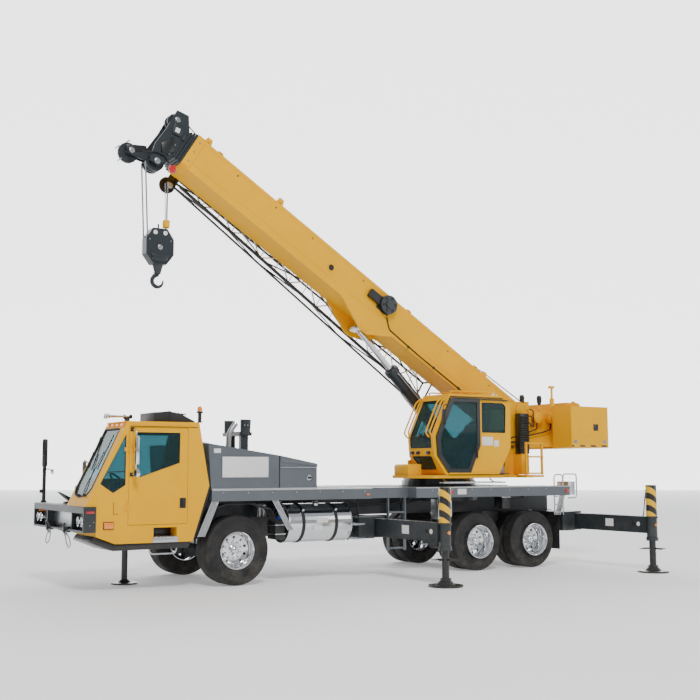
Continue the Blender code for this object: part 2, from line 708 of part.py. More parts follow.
def rear_tandem(root):
    """Both driven axles, their equaliser beams and the trunnion bracket."""
    z = REAR_R
    xs = (-WHEELBASE, -WHEELBASE - TANDEM)
    middle = sum(xs) / 2
    reach = REAR_OUT - DUAL_STEP - REAR_W - 0.07
    spindle = REAR_OUT - REAR_W / 2 - DUAL_STEP / 2 + 0.15
    pieces = []
    for x in xs:
        pieces.append(bar((x, -reach, z), (x, reach, z), 0.07, 12))
        pieces.append(bar((x, -spindle, z), (x, spindle, z), SPINDLE_R, 14))
        pieces.append(bar((x - 0.17, 0, z), (x + 0.17, 0, z), 0.19, 16))
    pieces.append(bar((xs[0], 0, z), (xs[1], 0, z), 0.05, 12))
    for s in (1, -1):
        outline = [(xs[1] - 0.08, z - 0.06), (middle, z - 0.14), (xs[0] + 0.08, z - 0.06),
                   (xs[0] + 0.08, z + 0.06),
                   (middle, z + 0.02), (xs[1] - 0.08, z + 0.06)]
        y = s * (RAIL_OUT + 0.02)
        pieces.append(prism(outline, "Y", y - 0.06, y + 0.06))
        pieces.append(box(middle - 0.10, middle + 0.10, s * (RAIL_OUT - RAIL_T), s * RAIL_OUT, z - 0.04,
                          RAIL_BOTTOM - GAP))
    pieces.append(box(middle - 0.08, middle + 0.08, -RAIL_OUT, RAIL_OUT, z + 0.10, z + 0.24))
    node("rear_tandem", solid(pieces), dark_grey(), root)


# ---------------------------------------------------------------- wheels


def tyre_profile(outer, width, bead):
    """Closed section of a tyre, from one bead to the other."""
    half = width / 2
    shoulder = 0.03
    return [(-half + shoulder, bead), (-half, outer - 0.09), (-half + shoulder + 0.02, outer),
            (half - shoulder - 0.02, outer), (half, outer - 0.09), (half - shoulder, bead)]


def rim_profile(half, dish, bore, inner, s):
    """Open profile of a wheel on its axis: cap, hub, disc, barrel and the bore for the spindle."""
    edge = RIM_R - GAP
    wall = 0.02
    points = [(dish + 0.12, 0), (dish + 0.12, 0.11), (dish + 0.02, 0.14), (dish + 0.02, edge - 2 * wall),
              (half, edge - wall), (half, edge), (-half, edge), (-half, edge - wall), (dish - 0.02,
                                                                                       edge - 2 * wall),
              (dish - 0.02, 0.14), (inner, 0.12), (inner, bore), (dish + 0.08, bore), (dish + 0.08, 0)]
    return [(s * a, r) for a, r in points]


def front_wheel(steer, name, s):
    """Wide single front tyre and its polished wheel."""
    y = s * (FRONT_OUT - FRONT_W / 2)
    centre = (0, y, FRONT_R)
    tyre = turned(tyre_profile(FRONT_R, FRONT_W, RIM_R), centre, "Y", WHEEL_SIDES)
    node("tyre_front_" + name, tyre, rubber(), steer, centre, True)
    bore = bore_for(SPINDLE_R, WHEEL_SIDES)
    rim = lathe(rim_profile(FRONT_W / 2 - 0.02, 0.03, bore, -0.06, s), centre, "Y", WHEEL_SIDES)
    node("rim_front_" + name, rim, polished(), steer, centre, True)


def knuckle(root, name, s):
    """Steering knuckle: yoke about the kingpin, spindle and steering arm."""
    z = FRONT_R - 0.12
    y = s * KINGPIN_Y
    wheel_y = s * (FRONT_OUT - FRONT_W / 2)
    low = -0.115
    pieces = [
        box(-0.045, 0.045, y - 0.045, y + 0.045, z + 0.06, z + 0.16),
        box(-0.045, 0.045, y - 0.045, y + 0.045, z + low, z - 0.066 - GAP),
        box(-0.05, 0.05, y + s * 0.065, y + s * 0.12, z + low - 0.005, z + 0.19),
        box(-0.04, 0.04, y + s * 0.02, y + s * 0.10, z + 0.07, z + 0.15),
        box(-0.04, 0.04, y + s * 0.02, y + s * 0.10, z + low + 0.005, z - 0.08),
        bar((0, y + s * 0.10, FRONT_R), (0, wheel_y + s * 0.09, FRONT_R), SPINDLE_R, 14),
        box(-0.24, -0.03, y - 0.02, y + 0.02, z - 0.11, z - 0.08),
    ]
    bore = post(0, y, bore_for(KINGPIN_R, 10), z - 0.2, z + 0.3, 10)
    node("knuckle_" + name, solid(pieces, [bore]), dark_grey(), root, (0, y, z))


def rear_wheel(root, name, x, s):
    """A twin wheel: two tyres on one pair of polished wheels."""
    outer = s * (REAR_OUT - REAR_W / 2)
    inner = outer - s * DUAL_STEP
    middle = (outer + inner) / 2
    step = DUAL_STEP / 2
    ends = []
    for k in (-step, step):
        ends.append([(a + k, r) for a, r in tyre_profile(REAR_R, REAR_W, RIM_R)])
    band = 0.03
    pair = ends[0][:-1] + [(ends[0][-1][0], RIM_R + band)] + [(ends[1][0][0], RIM_R + band)] + ends[1][1:]
    centre = (x, middle, REAR_R)
    tyres = turned(pair, centre, "Y", WHEEL_SIDES)
    node("tyres_" + name, tyres, rubber(), root, centre, True)
    bore = bore_for(SPINDLE_R, WHEEL_SIDES)
    rims = lathe(rim_profile(step + REAR_W / 2 - 0.02, step - 0.02, bore, -0.06, s), centre, "Y", WHEEL_SIDES)
    node("rims_" + name, rims, polished(), root, centre, True)


# ---------------------------------------------------------------- outriggers


def outrigger(root, place, left_x, name, s):
    """One sliding beam with its jack tube, and the ram with its float."""
    x = left_x if s > 0 else left_x + BEAM_PITCH
    y = s * JACK_Y
    wide = BEAM_W / 2
    beam = [
        box(x - wide, x + wide, s * BEAM_INNER, y - s * JACK_R * 0.5, BEAM_Z - BEAM_H / 2,
            BEAM_Z + BEAM_H / 2),
        post(x, y, JACK_R, JACK_BOTTOM, JACK_TOP, 20),
    ]
    bore = post(x, y, RAM_R + GAP, JACK_BOTTOM - 0.1, JACK_TOP - 0.03, 20)
    label = place + "_" + name
    node("beam_" + label, solid(beam, [bore]), dark_grey(), root, (x, y, BEAM_Z))
    foot = [(0, 0), (0, FLOAT_R), (0.03, FLOAT_R), (0.035, FLOAT_R * 0.55), (0.10, RAM_R + 0.03),
            (0.13, RAM_R + 0.03),
            (0.13, RAM_R), (1.06, RAM_R), (1.06, 0)]
    node("jack_" + label, lathe(foot, (x, y, 0)), steel(), root, (x, y, 0), True)


def nose_jack(root):
    """The centre jack under the front of the frame."""
    foot = [(0, 0), (0, 0.21), (0.025, 0.21), (0.03, 0.11), (0.08, NOSE_RAM_R), (0.86, NOSE_RAM_R), (0.86, 0)]
    node("nose_jack", lathe(foot, (NOSE_JACK_X, 0, 0), "Z", 24), steel(), root, (NOSE_JACK_X, 0, 0), True)


# ---------------------------------------------------------------- superstructure


def turntable(deck):
    """Base plate, cheek plates that carry the boom foot, and the tail beams."""
    z0 = RING_TOP + GAP
    z1 = z0 + PLATE_T
    tail = TAIL_X + 0.58
    plate = [(-3.66, 0.30), (-3.66, 0.80), (-3.95, CRANE_CAB_OUT), (-5.60, CRANE_CAB_OUT), (-5.75, 0.75),
             (-6.72, 0.72), (-6.72, -0.72), (-4.60, -0.72), (-4.25, -0.40), (-4.25, 0.30)]
    pieces = [prism(plate, "Z", z0, z1)]
    cheek = [(-4.45, z1 - 0.02), (-4.45, 2.02), (-5.55, 2.40), (-6.45, 3.20), (-7.00, 3.22), (-7.02, 2.66),
             (tail, 2.64), (tail, 2.32), (-6.95, 2.28), (-6.62, z1 - 0.02)]
    for s in (1, -1):
        pieces.append(prism(cheek, "Y", s * CHEEK_IN, s * (CHEEK_IN + CHEEK_T)))
    pieces.append(box(-6.72, -6.66, -CHEEK_IN - 0.02, CHEEK_IN + 0.02, z1 - 0.02, 2.30))
    pieces.append(box(tail, -6.98, -CHEEK_IN - 0.02, CHEEK_IN + 0.02, 2.60, 2.65))
    foot_x, foot_z = LIFT_FOOT
    pin_x, pin_z = FOOT_PIN
    for s in (1, -1):
        pieces.append(disc(pin_x, pin_z, 0.13, s * (CHEEK_IN + CHEEK_T - 0.01),
                           s * (CHEEK_IN + CHEEK_T + 0.03)))
        pieces.append(disc(foot_x, foot_z, 0.11, s * (CHEEK_IN + CHEEK_T - 0.01),
                           s * (CHEEK_IN + CHEEK_T + 0.03)))
    bore = disc(pin_x, pin_z, bore_for(FOOT_PIN_R, 24), -0.6, 0.6, 24)
    node("turntable", solid(pieces, [bore]), yellow(), deck, (0, 0, RING_TOP))


def counterweight(deck):
    """The slab at the tail with the bay for the winches and its top cover."""
    low, high = WEIGHT_Z
    half = WEIGHT_HALF
    bay = TAIL_X + 0.58 - GAP
    slab = box(TAIL_X, WEIGHT_FRONT, -half, half, low, high)
    room = box(bay, WEIGHT_FRONT + 0.1, -0.66, 0.66, low - 0.1, high + 0.3)
    body = solid([slab], [room])
    cover = prism([(bay, high - 0.01), (bay, high + 0.11), (TAIL_X + 0.22, high + 0.11),
                   (TAIL_X + 0.12, high - 0.01)],
                  "Y", -0.60, 0.60)
    node("counterweight", solid([body, cover]), yellow(), deck, (0, 0, RING_TOP))


def winches(deck):
    """Main and auxiliary hoist drums between their side plates."""
    deck_z = 2.65
    front, rear = -6.99, TAIL_X + 0.60
    drums = ((-7.19, 2.90), (-7.56, 2.90))
    pieces = [box(rear, front, -0.29, 0.29, deck_z + GAP, deck_z + 0.03)]
    for s in (1, -1):
        plate = [(rear, deck_z + 0.01), (front, deck_z + 0.01), (front, 2.95), (front - 0.10, 3.07),
                 (rear + 0.08, 3.07),
                 (rear, 2.98)]
        pieces.append(prism(plate, "Y", s * 0.26, s * 0.29))
    spool = [(-0.40, 0), (-0.40, 0.11), (-0.25, 0.11), (-0.25, 0.165), (-0.22, 0.165), (-0.22, 0.13),
             (0.22, 0.13),
             (0.22, 0.165), (0.25, 0.165), (0.25, 0.11), (0.40, 0.11), (0.40, 0)]
    for x, z in drums:
        pieces.append(lathe(spool, (x, 0, z), "Y", 16))
    node("winches", solid(pieces), dark_grey(), deck, (0, 0, RING_TOP))


def crane_cab_outline(inset=0.0):
    """Side view of the crane operator's cab."""
    g = inset
    return [(-4.33 - 0.4 * g, 3.24 - g), (-3.96 - g, 2.45), (-3.99 - g, 2.09), (-4.25 - 0.7 * g, 1.755 + g),
            (-5.50 + 0.7 * g, 1.755 + g), (-5.79 + g, 2.26), (-5.80 + g, 3.10 - 0.3 * g), (-5.58 + 0.4 * g,
                                                                                           3.24 - g)]


def crane_cab(deck):
    """The operator's cab shell with windows all round and an opening on the left."""
    wall = CRANE_CAB_WALL
    y0, y1 = CRANE_CAB_IN, CRANE_CAB_OUT
    shell = prism(crane_cab_outline(), "Y", y0, y1)
    inside = prism(crane_cab_outline(wall), "Y", y0 + wall, y1 - wall)
    doorway = prism([(-4.38, 3.14), (-4.06, 2.45), (-4.09, 2.12), (-4.32, 1.83), (-4.78, 1.83), (-5.00, 2.30),
                     (-5.00, 3.14)], "Y", y1 - 0.1, y1 + 0.1)
    side = prism([(-5.10, 3.10), (-5.10, 2.54), (-5.66, 2.54), (-5.68, 3.04), (-5.60, 3.10)], "Y", y1 - 0.1,
                 y1 + 0.1)
    far = prism([(-4.42, 3.10), (-4.10, 2.45), (-5.62, 2.45), (-5.62, 3.10)], "Y", y0 - 0.1, y0 + 0.1)
    front = box(-4.35, -3.80, y0 + 0.07, y1 - 0.07, 2.24, 3.13)
    low_front = prism([(y0 + 0.10, 2.10), (y1 - 0.10, 2.10), (y1 - 0.18, 1.86), (y0 + 0.16, 1.86)], "X",
                      -4.22, -3.8)
    back = box(-6.0, -5.70, y0 + 0.12, y1 - 0.12, 2.45, 3.02)
    feet = [box(x - 0.06, x + 0.06, y0 + 0.06, y1 - 0.06, RING_TOP + PLATE_T + 2 * GAP,
                1.78) for x in (-4.5, -5.3)]
    body = solid([shell], [inside, doorway, side, far, front, low_front, back])
    rail = box(-5.48, -4.30, y1 - 0.01, y1 + RUN + 0.034, 1.768, SLIDE_DOOR_Z - GAP)
    body = solid([body, *feet, rail])
    node("crane_cab", body, yellow(), deck, (0, 0, RING_TOP))


def crane_cab_door(deck):
    """The glazed sliding door, just outside the cab's left wall."""
    y0 = CRANE_CAB_OUT + RUN
    y1 = y0 + 0.032
    panel = prism([(-4.345, 3.17), (-4.02, 2.45), (-4.05, 2.10), (-4.295, SLIDE_DOOR_Z),
                   (-4.80, SLIDE_DOOR_Z), (-5.035, 2.30),
                   (-5.035, 3.17)], "Y", y0, y1)
    glass = prism([(-4.42, 3.10), (-4.11, 2.45), (-4.13, 2.13), (-4.34, 1.86), (-4.75, 1.86), (-4.965, 2.31),
                   (-4.965, 3.10)], "Y", y0 - 0.1, y1 + 0.1)
    node("crane_cab_door", solid([panel], [glass]), material("door_black", (0.02, 0.022, 0.024), 0.4), deck,
         (-4.6, y0, 2.4))


# ---------------------------------------------------------------- boom, in its own frame


def boom_point(u, v):
    """Place of a boom point in the machine's side view."""
    a = math.radians(BOOM_ANGLE)
    return (FOOT_PIN[0] + u * math.cos(a) - v * math.sin(a), FOOT_PIN[1] + u * math.sin(a) + v * math.cos(a))


def boom_base(boom):
    """Base section: hollow box, rounded tail, foot pin and the lift cylinder's ears."""
    top, belly, half = BOOM_TOP, BOOM_BELLY, BOOM_HALF
    side = [(BOOM_MOUTH, top), (0.10, top), *arc(0.0, 0.0, 0.12, 50, 220, 6), (0.12, belly),
            (BOOM_MOUTH, belly)]
    shell = prism(side, "Y", -half, half)
    wall = BOOM_WALL
    room = box(0.28, BOOM_MOUTH + 0.1, -half + wall, half - wall, belly + wall, top - wall)
    pin_u, pin_v = LIFT_PIN
    ear = [(pin_u - 0.62, belly + 0.01), (pin_u - 0.12, pin_v - 0.10), (pin_u + 0.06, pin_v - 0.11),
           (pin_u + 0.75, belly + 0.01)]
    body = solid([shell], [room])
    pieces = [body, disc(0, 0, FOOT_PIN_R, -half - 0.07, half + 0.07, 24)]
    for s in (1, -1):
        pieces.append(prism(ear, "Y", s * EAR_IN, s * BOOM_HALF))
        pieces.append(disc(pin_u, pin_v, 0.085, s * (EAR_IN + 0.01), s * (BOOM_HALF + 0.012), 16))
    pieces.append(disc(pin_u, pin_v, LIFT_PIN_R, -BOOM_HALF, BOOM_HALF, 12))
    node("boom_base", solid(pieces), yellow(), boom)


def section_size(level):
    """Half width, top and belly of telescoping section 1, 2 or 3, resting in the one outside it."""
    inner_walls = BOOM_WALL + (level - 1) * SECTION_WALL
    half = BOOM_HALF - inner_walls - level * RUN
    top = BOOM_TOP - inner_walls - level * RUN
    belly = BOOM_BELLY + inner_walls + level * GAP
    return half, top, belly


def boom_section(boom, name, level, colour):
    """One telescoping section with its collar in front of the section outside it."""
    half, top, belly = section_size(level)
    rear = 0.34 + 0.05 * level
    collar = BOOM_MOUTH + 0.006 + (level - 1) * (COLLAR + 0.006)
    front = collar + COLLAR
    wall = SECTION_WALL
    tube = box(rear, front - 0.005, -half, half, belly, top)
    flange = box(collar, front, -BOOM_HALF + 0.02 * (level - 1), BOOM_HALF - 0.02 * (level - 1),
                 BOOM_BELLY + 0.02 * (level - 1), BOOM_TOP - 0.02 * (level - 1))
    body = solid([tube, flange])
    room = box(rear + 0.04, front + 0.2, -half + wall, half - wall, belly + wall, top - wall)
    node(name, solid([body], [room]), colour, boom)


def boom_tip(boom):
    """The innermost section, closed by the plate that carries the head."""
    half, top, belly = section_size(3)
    rear = 0.34 + 0.15
    start = BOOM_MOUTH + 0.006 + 2 * (COLLAR + 0.006)
    wall = SECTION_WALL
    tube = box(rear, start + 0.01, -half, half, belly, top)
    room = box(rear - 0.1, start - 0.02, -half + wall, half - wall, belly + wall, top - wall)
    plate = box(start, start + COLLAR, -HEAD_HALF, HEAD_HALF, BOOM_BELLY + 0.03, BOOM_TOP - 0.02)
    node("boom_tip", solid([tube, plate], [room]), dark_grey(), boom)


def head_start():
    """Lengthwise place of the head's back plate."""
    return BOOM_MOUTH + 0.006 + 2 * (COLLAR + 0.006) + COLLAR + GAP


def boom_head(boom):
    """Head side plates with the main, upper and nose sheaves."""
    u0 = head_start()
    mu, mv = MAIN_SHEAVE
    nu, nv = NOSE_SHEAVE
    tu, tv = TOP_SHEAVE
    plate = [(u0, BOOM_BELLY + 0.03), (u0, 0.06), (tu - 0.12, tv + 0.20), (tu + 0.10, tv + 0.14),
             (tu + 0.08, -0.15),
             (mu + 0.20, -0.50), (mu + 0.12, mv - 0.07), (mu - 0.06, mv - 0.06)]
    pieces = [box(u0, u0 + 0.03, -0.21, 0.21, BOOM_BELLY + 0.04, 0.05)]
    for s in (1, -1):
        pieces.append(prism(plate, "Y", s * 0.17, s * 0.20))
    pieces.append(sheaves(mu, mv, SHEAVE_R, (-SHEAVE_STEP, 0.0, SHEAVE_STEP), 0.22, 24))
    pieces.append(sheaves(tu, tv, 0.14, (-0.06, 0.06), 0.22))
    nose = [(mu + 0.10, -0.52), (nu - 0.02, nv + 0.08), (nu + 0.06, nv + 0.03), (nu + 0.04, nv - 0.05),
            (mu + 0.02, mv - 0.04)]
    for s in (1, -1):
        pieces.append(prism(nose, "Y", s * 0.045, s * 0.07))
    pieces.append(sheaves(nu, nv, 0.18, (0.0,), 0.09))
    pieces.append(box(mu + 0.05, mu + 0.14, -0.175, 0.175, -0.60, -0.52))
    node("boom_head", solid(pieces), dark_grey(), boom)


def sheaves(u, v, radius, places, reach, flats=16):
    """Rope sheaves side by side on one shaft."""
    shaft, half = 0.04, 0.022
    profile = [(-reach, 0), (-reach, shaft)]
    for y in places:
        profile += [(y - half, shaft), (y - half, radius), (y + half, radius), (y + half, shaft)]
    profile += [(reach, shaft), (reach, 0)]
    return lathe(profile, (u, 0, v), "Y", flats)


def jib_corner(u, upper, outer):
    """A chord's place at a lengthwise position: the lattice widens towards its base."""
    share = (8.20 - u) / (8.20 - 1.70)
    v_top = -0.42
    depth = 0.16 + 0.32 * share
    y_in = -0.385
    width = 0.18 + 0.16 * share
    return (u, y_in - (width if outer else 0.0), v_top - (0.0 if upper else depth))


def jib(boom):
    """The stowed lattice jib under the boom's right side, on two carriers."""
    tube = 0.021
    corners = [(True, False), (True, True), (False, False), (False, True)]
    pieces = [bar(jib_corner(8.20, *c), jib_corner(1.70, *c), tube, 6) for c in corners]
    bays = 6
    stations = [8.20 - 6.50 * k / bays for k in range(bays + 1)]
    faces = [(corners[0], corners[1]), (corners[2], corners[3]), (corners[0], corners[2]),
             (corners[1], corners[3])]
    for k in range(bays):
        for a, b in faces[:3]:
            first, second = (a, b) if k % 2 else (b, a)
            pieces.append(bar(jib_corner(stations[k], *first), jib_corner(stations[k + 1], *second),
                              tube * 0.7, 4))
    for u in (stations[0], stations[-1]):
        for a, b in faces:
            pieces.append(bar(jib_corner(u, *a), jib_corner(u, *b), tube, 6))
    for u in (6.9, 2.6):
        point = jib_corner(u, True, False)
        pieces.append(box(u - 0.05, u + 0.05, point[1] - 0.02, -BOOM_HALF - GAP, point[2] - 0.02,
                          point[2] + 0.10))
    tip = jib_corner(8.20, False, True)
    pieces.append(box(8.16, 8.36, -0.50, -0.46, -0.70, -0.42))
    pieces.append(disc(8.29, -0.66, 0.15, -0.53, -0.505, 28))
    pieces.append(disc(8.29, -0.66, 0.04, -0.54, -0.45, 16))
    pieces.append(bar(jib_corner(8.20, True, False), (8.18, -0.48, tip[2] + 0.1), tube, 8))
    node("jib", solid(pieces), material("jib_grey", (0.03, 0.034, 0.038), 0.5), boom)


def lift_cylinder(boom):
    """Rod hung on the boom's ears and the barrel that slides on it."""
    pin = Vector((LIFT_PIN[0], 0, LIFT_PIN[1]))
    a = math.radians(BOOM_ANGLE)
    dx = LIFT_FOOT[0] - FOOT_PIN[0]
    dz = LIFT_FOOT[1] - FOOT_PIN[1]
    foot = Vector((dx * math.cos(a) + dz * math.sin(a), 0, -dx * math.sin(a) + dz * math.cos(a)))
    along = (foot - pin).normalized()
    mouth = foot - along * BARREL_LEN
    eye = bar(pin + Vector((0, -0.075, 0)), pin + Vector((0, 0.075, 0)), 0.085, 16)
    wide = EAR_IN - GAP
    spacer = bar(pin + Vector((0, -wide, 0)), pin + Vector((0, wide, 0)), 0.062, 16)
    bore = bar(pin + Vector((0, -0.3, 0)), pin + Vector((0, 0.3, 0)), bore_for(LIFT_PIN_R, 12), 12)
    rod = bar(pin + along * 0.06, foot - along * 1.00, ROD_R, 20)
    node("lift_rod", solid([eye, spacer, rod], [bore]), steel(), boom, pin, True)
    barrel = bar(mouth, foot - along * 0.05, BARREL_R, 20)
    collar = bar(mouth, mouth + along * 0.07, BARREL_R + 0.015, 20)
    inside = bar(mouth - along * 0.1, foot - along * 0.16, ROD_R + GAP, 20)
    lug = bar(foot + Vector((0, -0.12, 0)), foot + Vector((0, 0.12, 0)), 0.085, 16)
    hole = bar(foot + Vector((0, -0.3, 0)), foot + Vector((0, 0.3, 0)), 0.04, 12)
    body = solid([barrel, collar, lug], [inside, hole])
    node("lift_barrel", body, dark_grey(), boom, pin, True)


def hook_block(hang):
    """Hook block, its falls of rope and the anti-two-block weight, hanging plumb."""
    x = HOOK_SHIFT
    top = -HOOK_DROP
    plate = [(x - 0.13, top), (x + 0.13, top), (x + 0.25, top - 0.18), (x + 0.25, top - 0.45),
             (x + 0.12, top - 0.62),
             (x - 0.12, top - 0.62), (x - 0.25, top - 0.45), (x - 0.25, top - 0.18)]
    pieces = [prism(plate, "Y", -0.10, 0.10)]
    pieces.append(bar((x, 0, top - 0.60), (x, 0, top - 0.78), 0.10, 20, 0.05))
    pieces.append(hook_shape(x, top - 0.90))
    lead = SHEAVE_R + ROPE_R * math.cos(PI / 6) + GAP / 2
    for y in (-SHEAVE_STEP, SHEAVE_STEP):
        pieces.append(bar((lead, y, 0.0), (0.11, y, top - 0.16), ROPE_R, 6))
    pieces.append(bar((-0.26, 0.03, -0.30), (-0.245, 0.03, top - 0.14), 0.008, 6))
    pieces.append(lathe([(-0.05, 0), (-0.05, 0.045), (0.06, 0.045), (0.06, 0)], (-0.25, 0.03, top + 0.10),
                        "Z", 12))
    node("hook_block", solid(pieces), dark_grey(), hang)


def hook_shape(x, z):
    """The forged hook: a thick open curve and its shank."""
    radius = 0.10
    curve = arc(x, z, radius, 85, -190, 14)
    path = [(x, 0, z + 0.20)] + [(px, 0, pz) for px, pz in curve]
    radii = [0.035] + [0.036] * 8 + [0.036 - 0.004 * k for k in range(7)]
    return swept(path, radii)


# ---------------------------------------------------------------- assembly


def clear_scene():
    for obj in list(bpy.data.objects):
        bpy.data.objects.remove(obj)


def build_carrier(root):
    chassis_frame(root)
    slew_ring(root)
    outrigger_box(root, "outrigger_box_front", FRONT_JACK_X)
    outrigger_box(root, "outrigger_box_rear", REAR_JACK_X)
    deck_side(root, "deck_left", 1, -2.56, -3.50, -7.16)
    deck_side(root, "deck_right", -1, -2.28, -2.66, -6.98)
    front_bumper(root)
    carrier_cab(root)
    carrier_door(root)
    seat(root, "driver_seat", 1.28, 0.80, 0.98)
    steering_column(root)
    engine_hood(root)
    engine_block(root)
    boom_rest(root)
    fuel_tank(root)
    hydraulic_tank(root)
    front_cowl(root)
    front_axle(root)
    rear_tandem(root)
    nose_jack(root)
    for name, s in sides():
        knuckle(root, name, s)
        front_wheel(root, name, s)
        rear_wheel(root, "mid_" + name, -WHEELBASE, s)
        rear_wheel(root, "rear_" + name, -WHEELBASE - TANDEM, s)
        outrigger(root, "front", FRONT_JACK_X, name, s)
        outrigger(root, "rear", REAR_JACK_X, name, s)


def build_superstructure(root):
    deck = empty("slew_axis", (SLEW_X, 0, 0), root)
    shift = empty("slew_origin", (-SLEW_X, 0, 0), deck)
    turntable(shift)
    counterweight(shift)
    winches(shift)
    crane_cab(shift)
    seat(shift, "operator_seat", -4.95, 0.78, 1.755 + CRANE_CAB_WALL)
    crane_cab_door(shift)
    boom = empty("boom_foot", (FOOT_PIN[0], 0, FOOT_PIN[1]), shift, (0, -math.radians(BOOM_ANGLE), 0))
    boom_base(boom)
    boom_section(boom, "boom_mid_inner", 1, dark_grey())
    boom_section(boom, "boom_mid_outer", 2, dark_grey())
    boom_tip(boom)
    boom_head(boom)
    jib(boom)
    lift_cylinder(boom)
    x, z = boom_point(*MAIN_SHEAVE)
    hook_block(empty("hook_hang", (x, 0, z), shift))


def main():
    clear_scene()
    middle = (BUMPER_X + 0.04 + TAIL_X) / 2
    root = empty("machine", (-middle, 0, 0))
    build_carrier(root)
    build_superstructure(root)
    bpy.context.view_layer.update()


main()
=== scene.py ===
"""The looks of a truck-mounted telescopic crane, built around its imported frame."""

import json
import math

import bpy
from mathutils import Matrix, Vector

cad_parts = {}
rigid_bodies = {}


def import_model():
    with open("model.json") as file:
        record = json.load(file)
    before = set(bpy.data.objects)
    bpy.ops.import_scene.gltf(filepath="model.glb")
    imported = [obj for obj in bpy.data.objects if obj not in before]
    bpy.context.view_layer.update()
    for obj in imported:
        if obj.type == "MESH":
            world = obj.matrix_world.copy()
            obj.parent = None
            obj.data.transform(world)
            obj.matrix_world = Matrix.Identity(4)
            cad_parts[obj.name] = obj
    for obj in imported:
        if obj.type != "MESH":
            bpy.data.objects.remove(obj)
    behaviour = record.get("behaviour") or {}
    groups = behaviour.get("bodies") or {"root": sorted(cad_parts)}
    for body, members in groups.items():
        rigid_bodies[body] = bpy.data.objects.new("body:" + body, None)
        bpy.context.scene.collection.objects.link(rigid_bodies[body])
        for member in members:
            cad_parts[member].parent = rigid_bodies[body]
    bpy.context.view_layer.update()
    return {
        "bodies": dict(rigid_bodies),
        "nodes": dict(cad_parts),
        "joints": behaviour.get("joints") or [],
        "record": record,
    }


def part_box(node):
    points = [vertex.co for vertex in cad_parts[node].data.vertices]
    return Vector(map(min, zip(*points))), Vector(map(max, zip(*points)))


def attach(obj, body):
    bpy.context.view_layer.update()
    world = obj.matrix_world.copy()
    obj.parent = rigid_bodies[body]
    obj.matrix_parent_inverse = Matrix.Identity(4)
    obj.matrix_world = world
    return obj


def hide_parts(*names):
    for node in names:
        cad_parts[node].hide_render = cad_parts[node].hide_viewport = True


# ---------------------------------------------------------------- driving dimensions
# Lengths run from the front axle, forward positive; heights from the ground; left positive.
PI = math.pi
FRONT_AXLE = 2.855          # where the front axle stands in the frame
BUMPER_X = 2.58
DECK_Z = 1.53
WIDTH = 2.58
CAB_IN = 0.36
CAB_OUT = 1.27
FRONT_R, FRONT_W, FRONT_OUT = 0.559, 0.425, 1.256
REAR_R, REAR_W, REAR_OUT = 0.53, 0.28, 1.2135
DUAL_STEP = 0.33
RIM_R = 0.295
AXLES = (-4.945, -6.267)
CRANE_CAB_IN, CRANE_CAB_OUT = 0.38, 1.17
BOOM_FOOT = (-6.78, 3.05)
BOOM_ANGLE = math.radians(32)
BOOM_HALF = 0.29
BOOM_BELLY, BOOM_TOP, BOOM_MOUTH = -0.545, 0.095, 8.47
COLLAR_REAR = 8.30          # where the collar round the boom's mouth begins
HEAD_HALF = 0.2005          # outer face of the head's side plates
SLEW_X = -5.30              # the turntable's axis
JACK_Y = 3.05               # the jacks with their beams out
HOOK_X = 0.955              # the hook block's middle


def at(x, y, z):
    """A place measured from the front axle, in the frame."""
    return Vector((x + FRONT_AXLE, y, z))


def on_boom(u, y, v):
    """A place measured along the boom from its foot pin, and square to it."""
    c, s = math.cos(BOOM_ANGLE), math.sin(BOOM_ANGLE)
    return at(BOOM_FOOT[0] + u * c - v * s, y, BOOM_FOOT[1] + u * s + v * c)


# ---------------------------------------------------------------- modelling helpers


def deselect():
    bpy.ops.object.select_all(action="DESELECT")


def focus(obj):
    """Make one object the only selected one."""
    deselect()
    obj.select_set(True)
    bpy.context.view_layer.objects.active = obj


def edit(obj, select_all=True):
    """Go into edit mode on one object."""
    focus(obj)
    bpy.ops.object.mode_set(mode="EDIT")
    bpy.ops.mesh.select_all(action="SELECT" if select_all else "DESELECT")


def leave_edit():
    bpy.ops.object.mode_set(mode="OBJECT")


def bevel(obj, width, steps=2, angle=35):
    """Round the edges of a piece."""
    if width <= 0:
        return
    focus(obj)
    mod = obj.modifiers.new("edge", "BEVEL")
    mod.width = width
    mod.segments = steps
    mod.limit_method = "ANGLE"
    mod.angle_limit = math.radians(angle)
    mod.harden_normals = False
    bpy.ops.object.modifier_apply(modifier=mod.name)


def settle(obj, name, mat, body, smooth=30, recalc=True):
    """Finish a piece: place in its mesh, faces out, shading, name, finish and the body that carries it."""
    focus(obj)
    bpy.ops.object.transform_apply(location=True, rotation=True, scale=True)
    if recalc:
        edit(obj)
        bpy.ops.mesh.normals_make_consistent(inside=False)
        leave_edit()
    if smooth:
        bpy.ops.object.shade_smooth_by_angle(angle=math.radians(smooth))
    obj.name = name
    obj.data.name = name
    obj.data.materials.clear()
    obj.data.materials.append(mat)
    if body:
        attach(obj, body)
    return obj


def block(name, lo, hi, mat, body, edge=0.006, steps=2):
    """A box between two corners with rounded edges."""
    lo, hi = Vector(lo), Vector(hi)
    size = Vector((abs(hi.x - lo.x), abs(hi.y - lo.y), abs(hi.z - lo.z)))
    deselect()
    bpy.ops.mesh.primitive_cube_add(size=1, location=(lo + hi) / 2, scale=size)
    obj = bpy.context.object
    bpy.ops.object.transform_apply(location=True, rotation=True, scale=True)
    bevel(obj, min(edge, min(size) * 0.45), steps)
    return settle(obj, name, mat, body)


def face_of(points):
    """A flat face through a list of points, as a new object."""
    deselect()
    bpy.ops.mesh.primitive_circle_add(vertices=len(points), radius=1, fill_type="NGON")
    obj = bpy.context.object
    bpy.ops.object.transform_apply(location=True, rotation=True, scale=True)
    for vert, point in zip(obj.data.vertices, points):
        vert.co = point
    obj.data.update()
    return obj


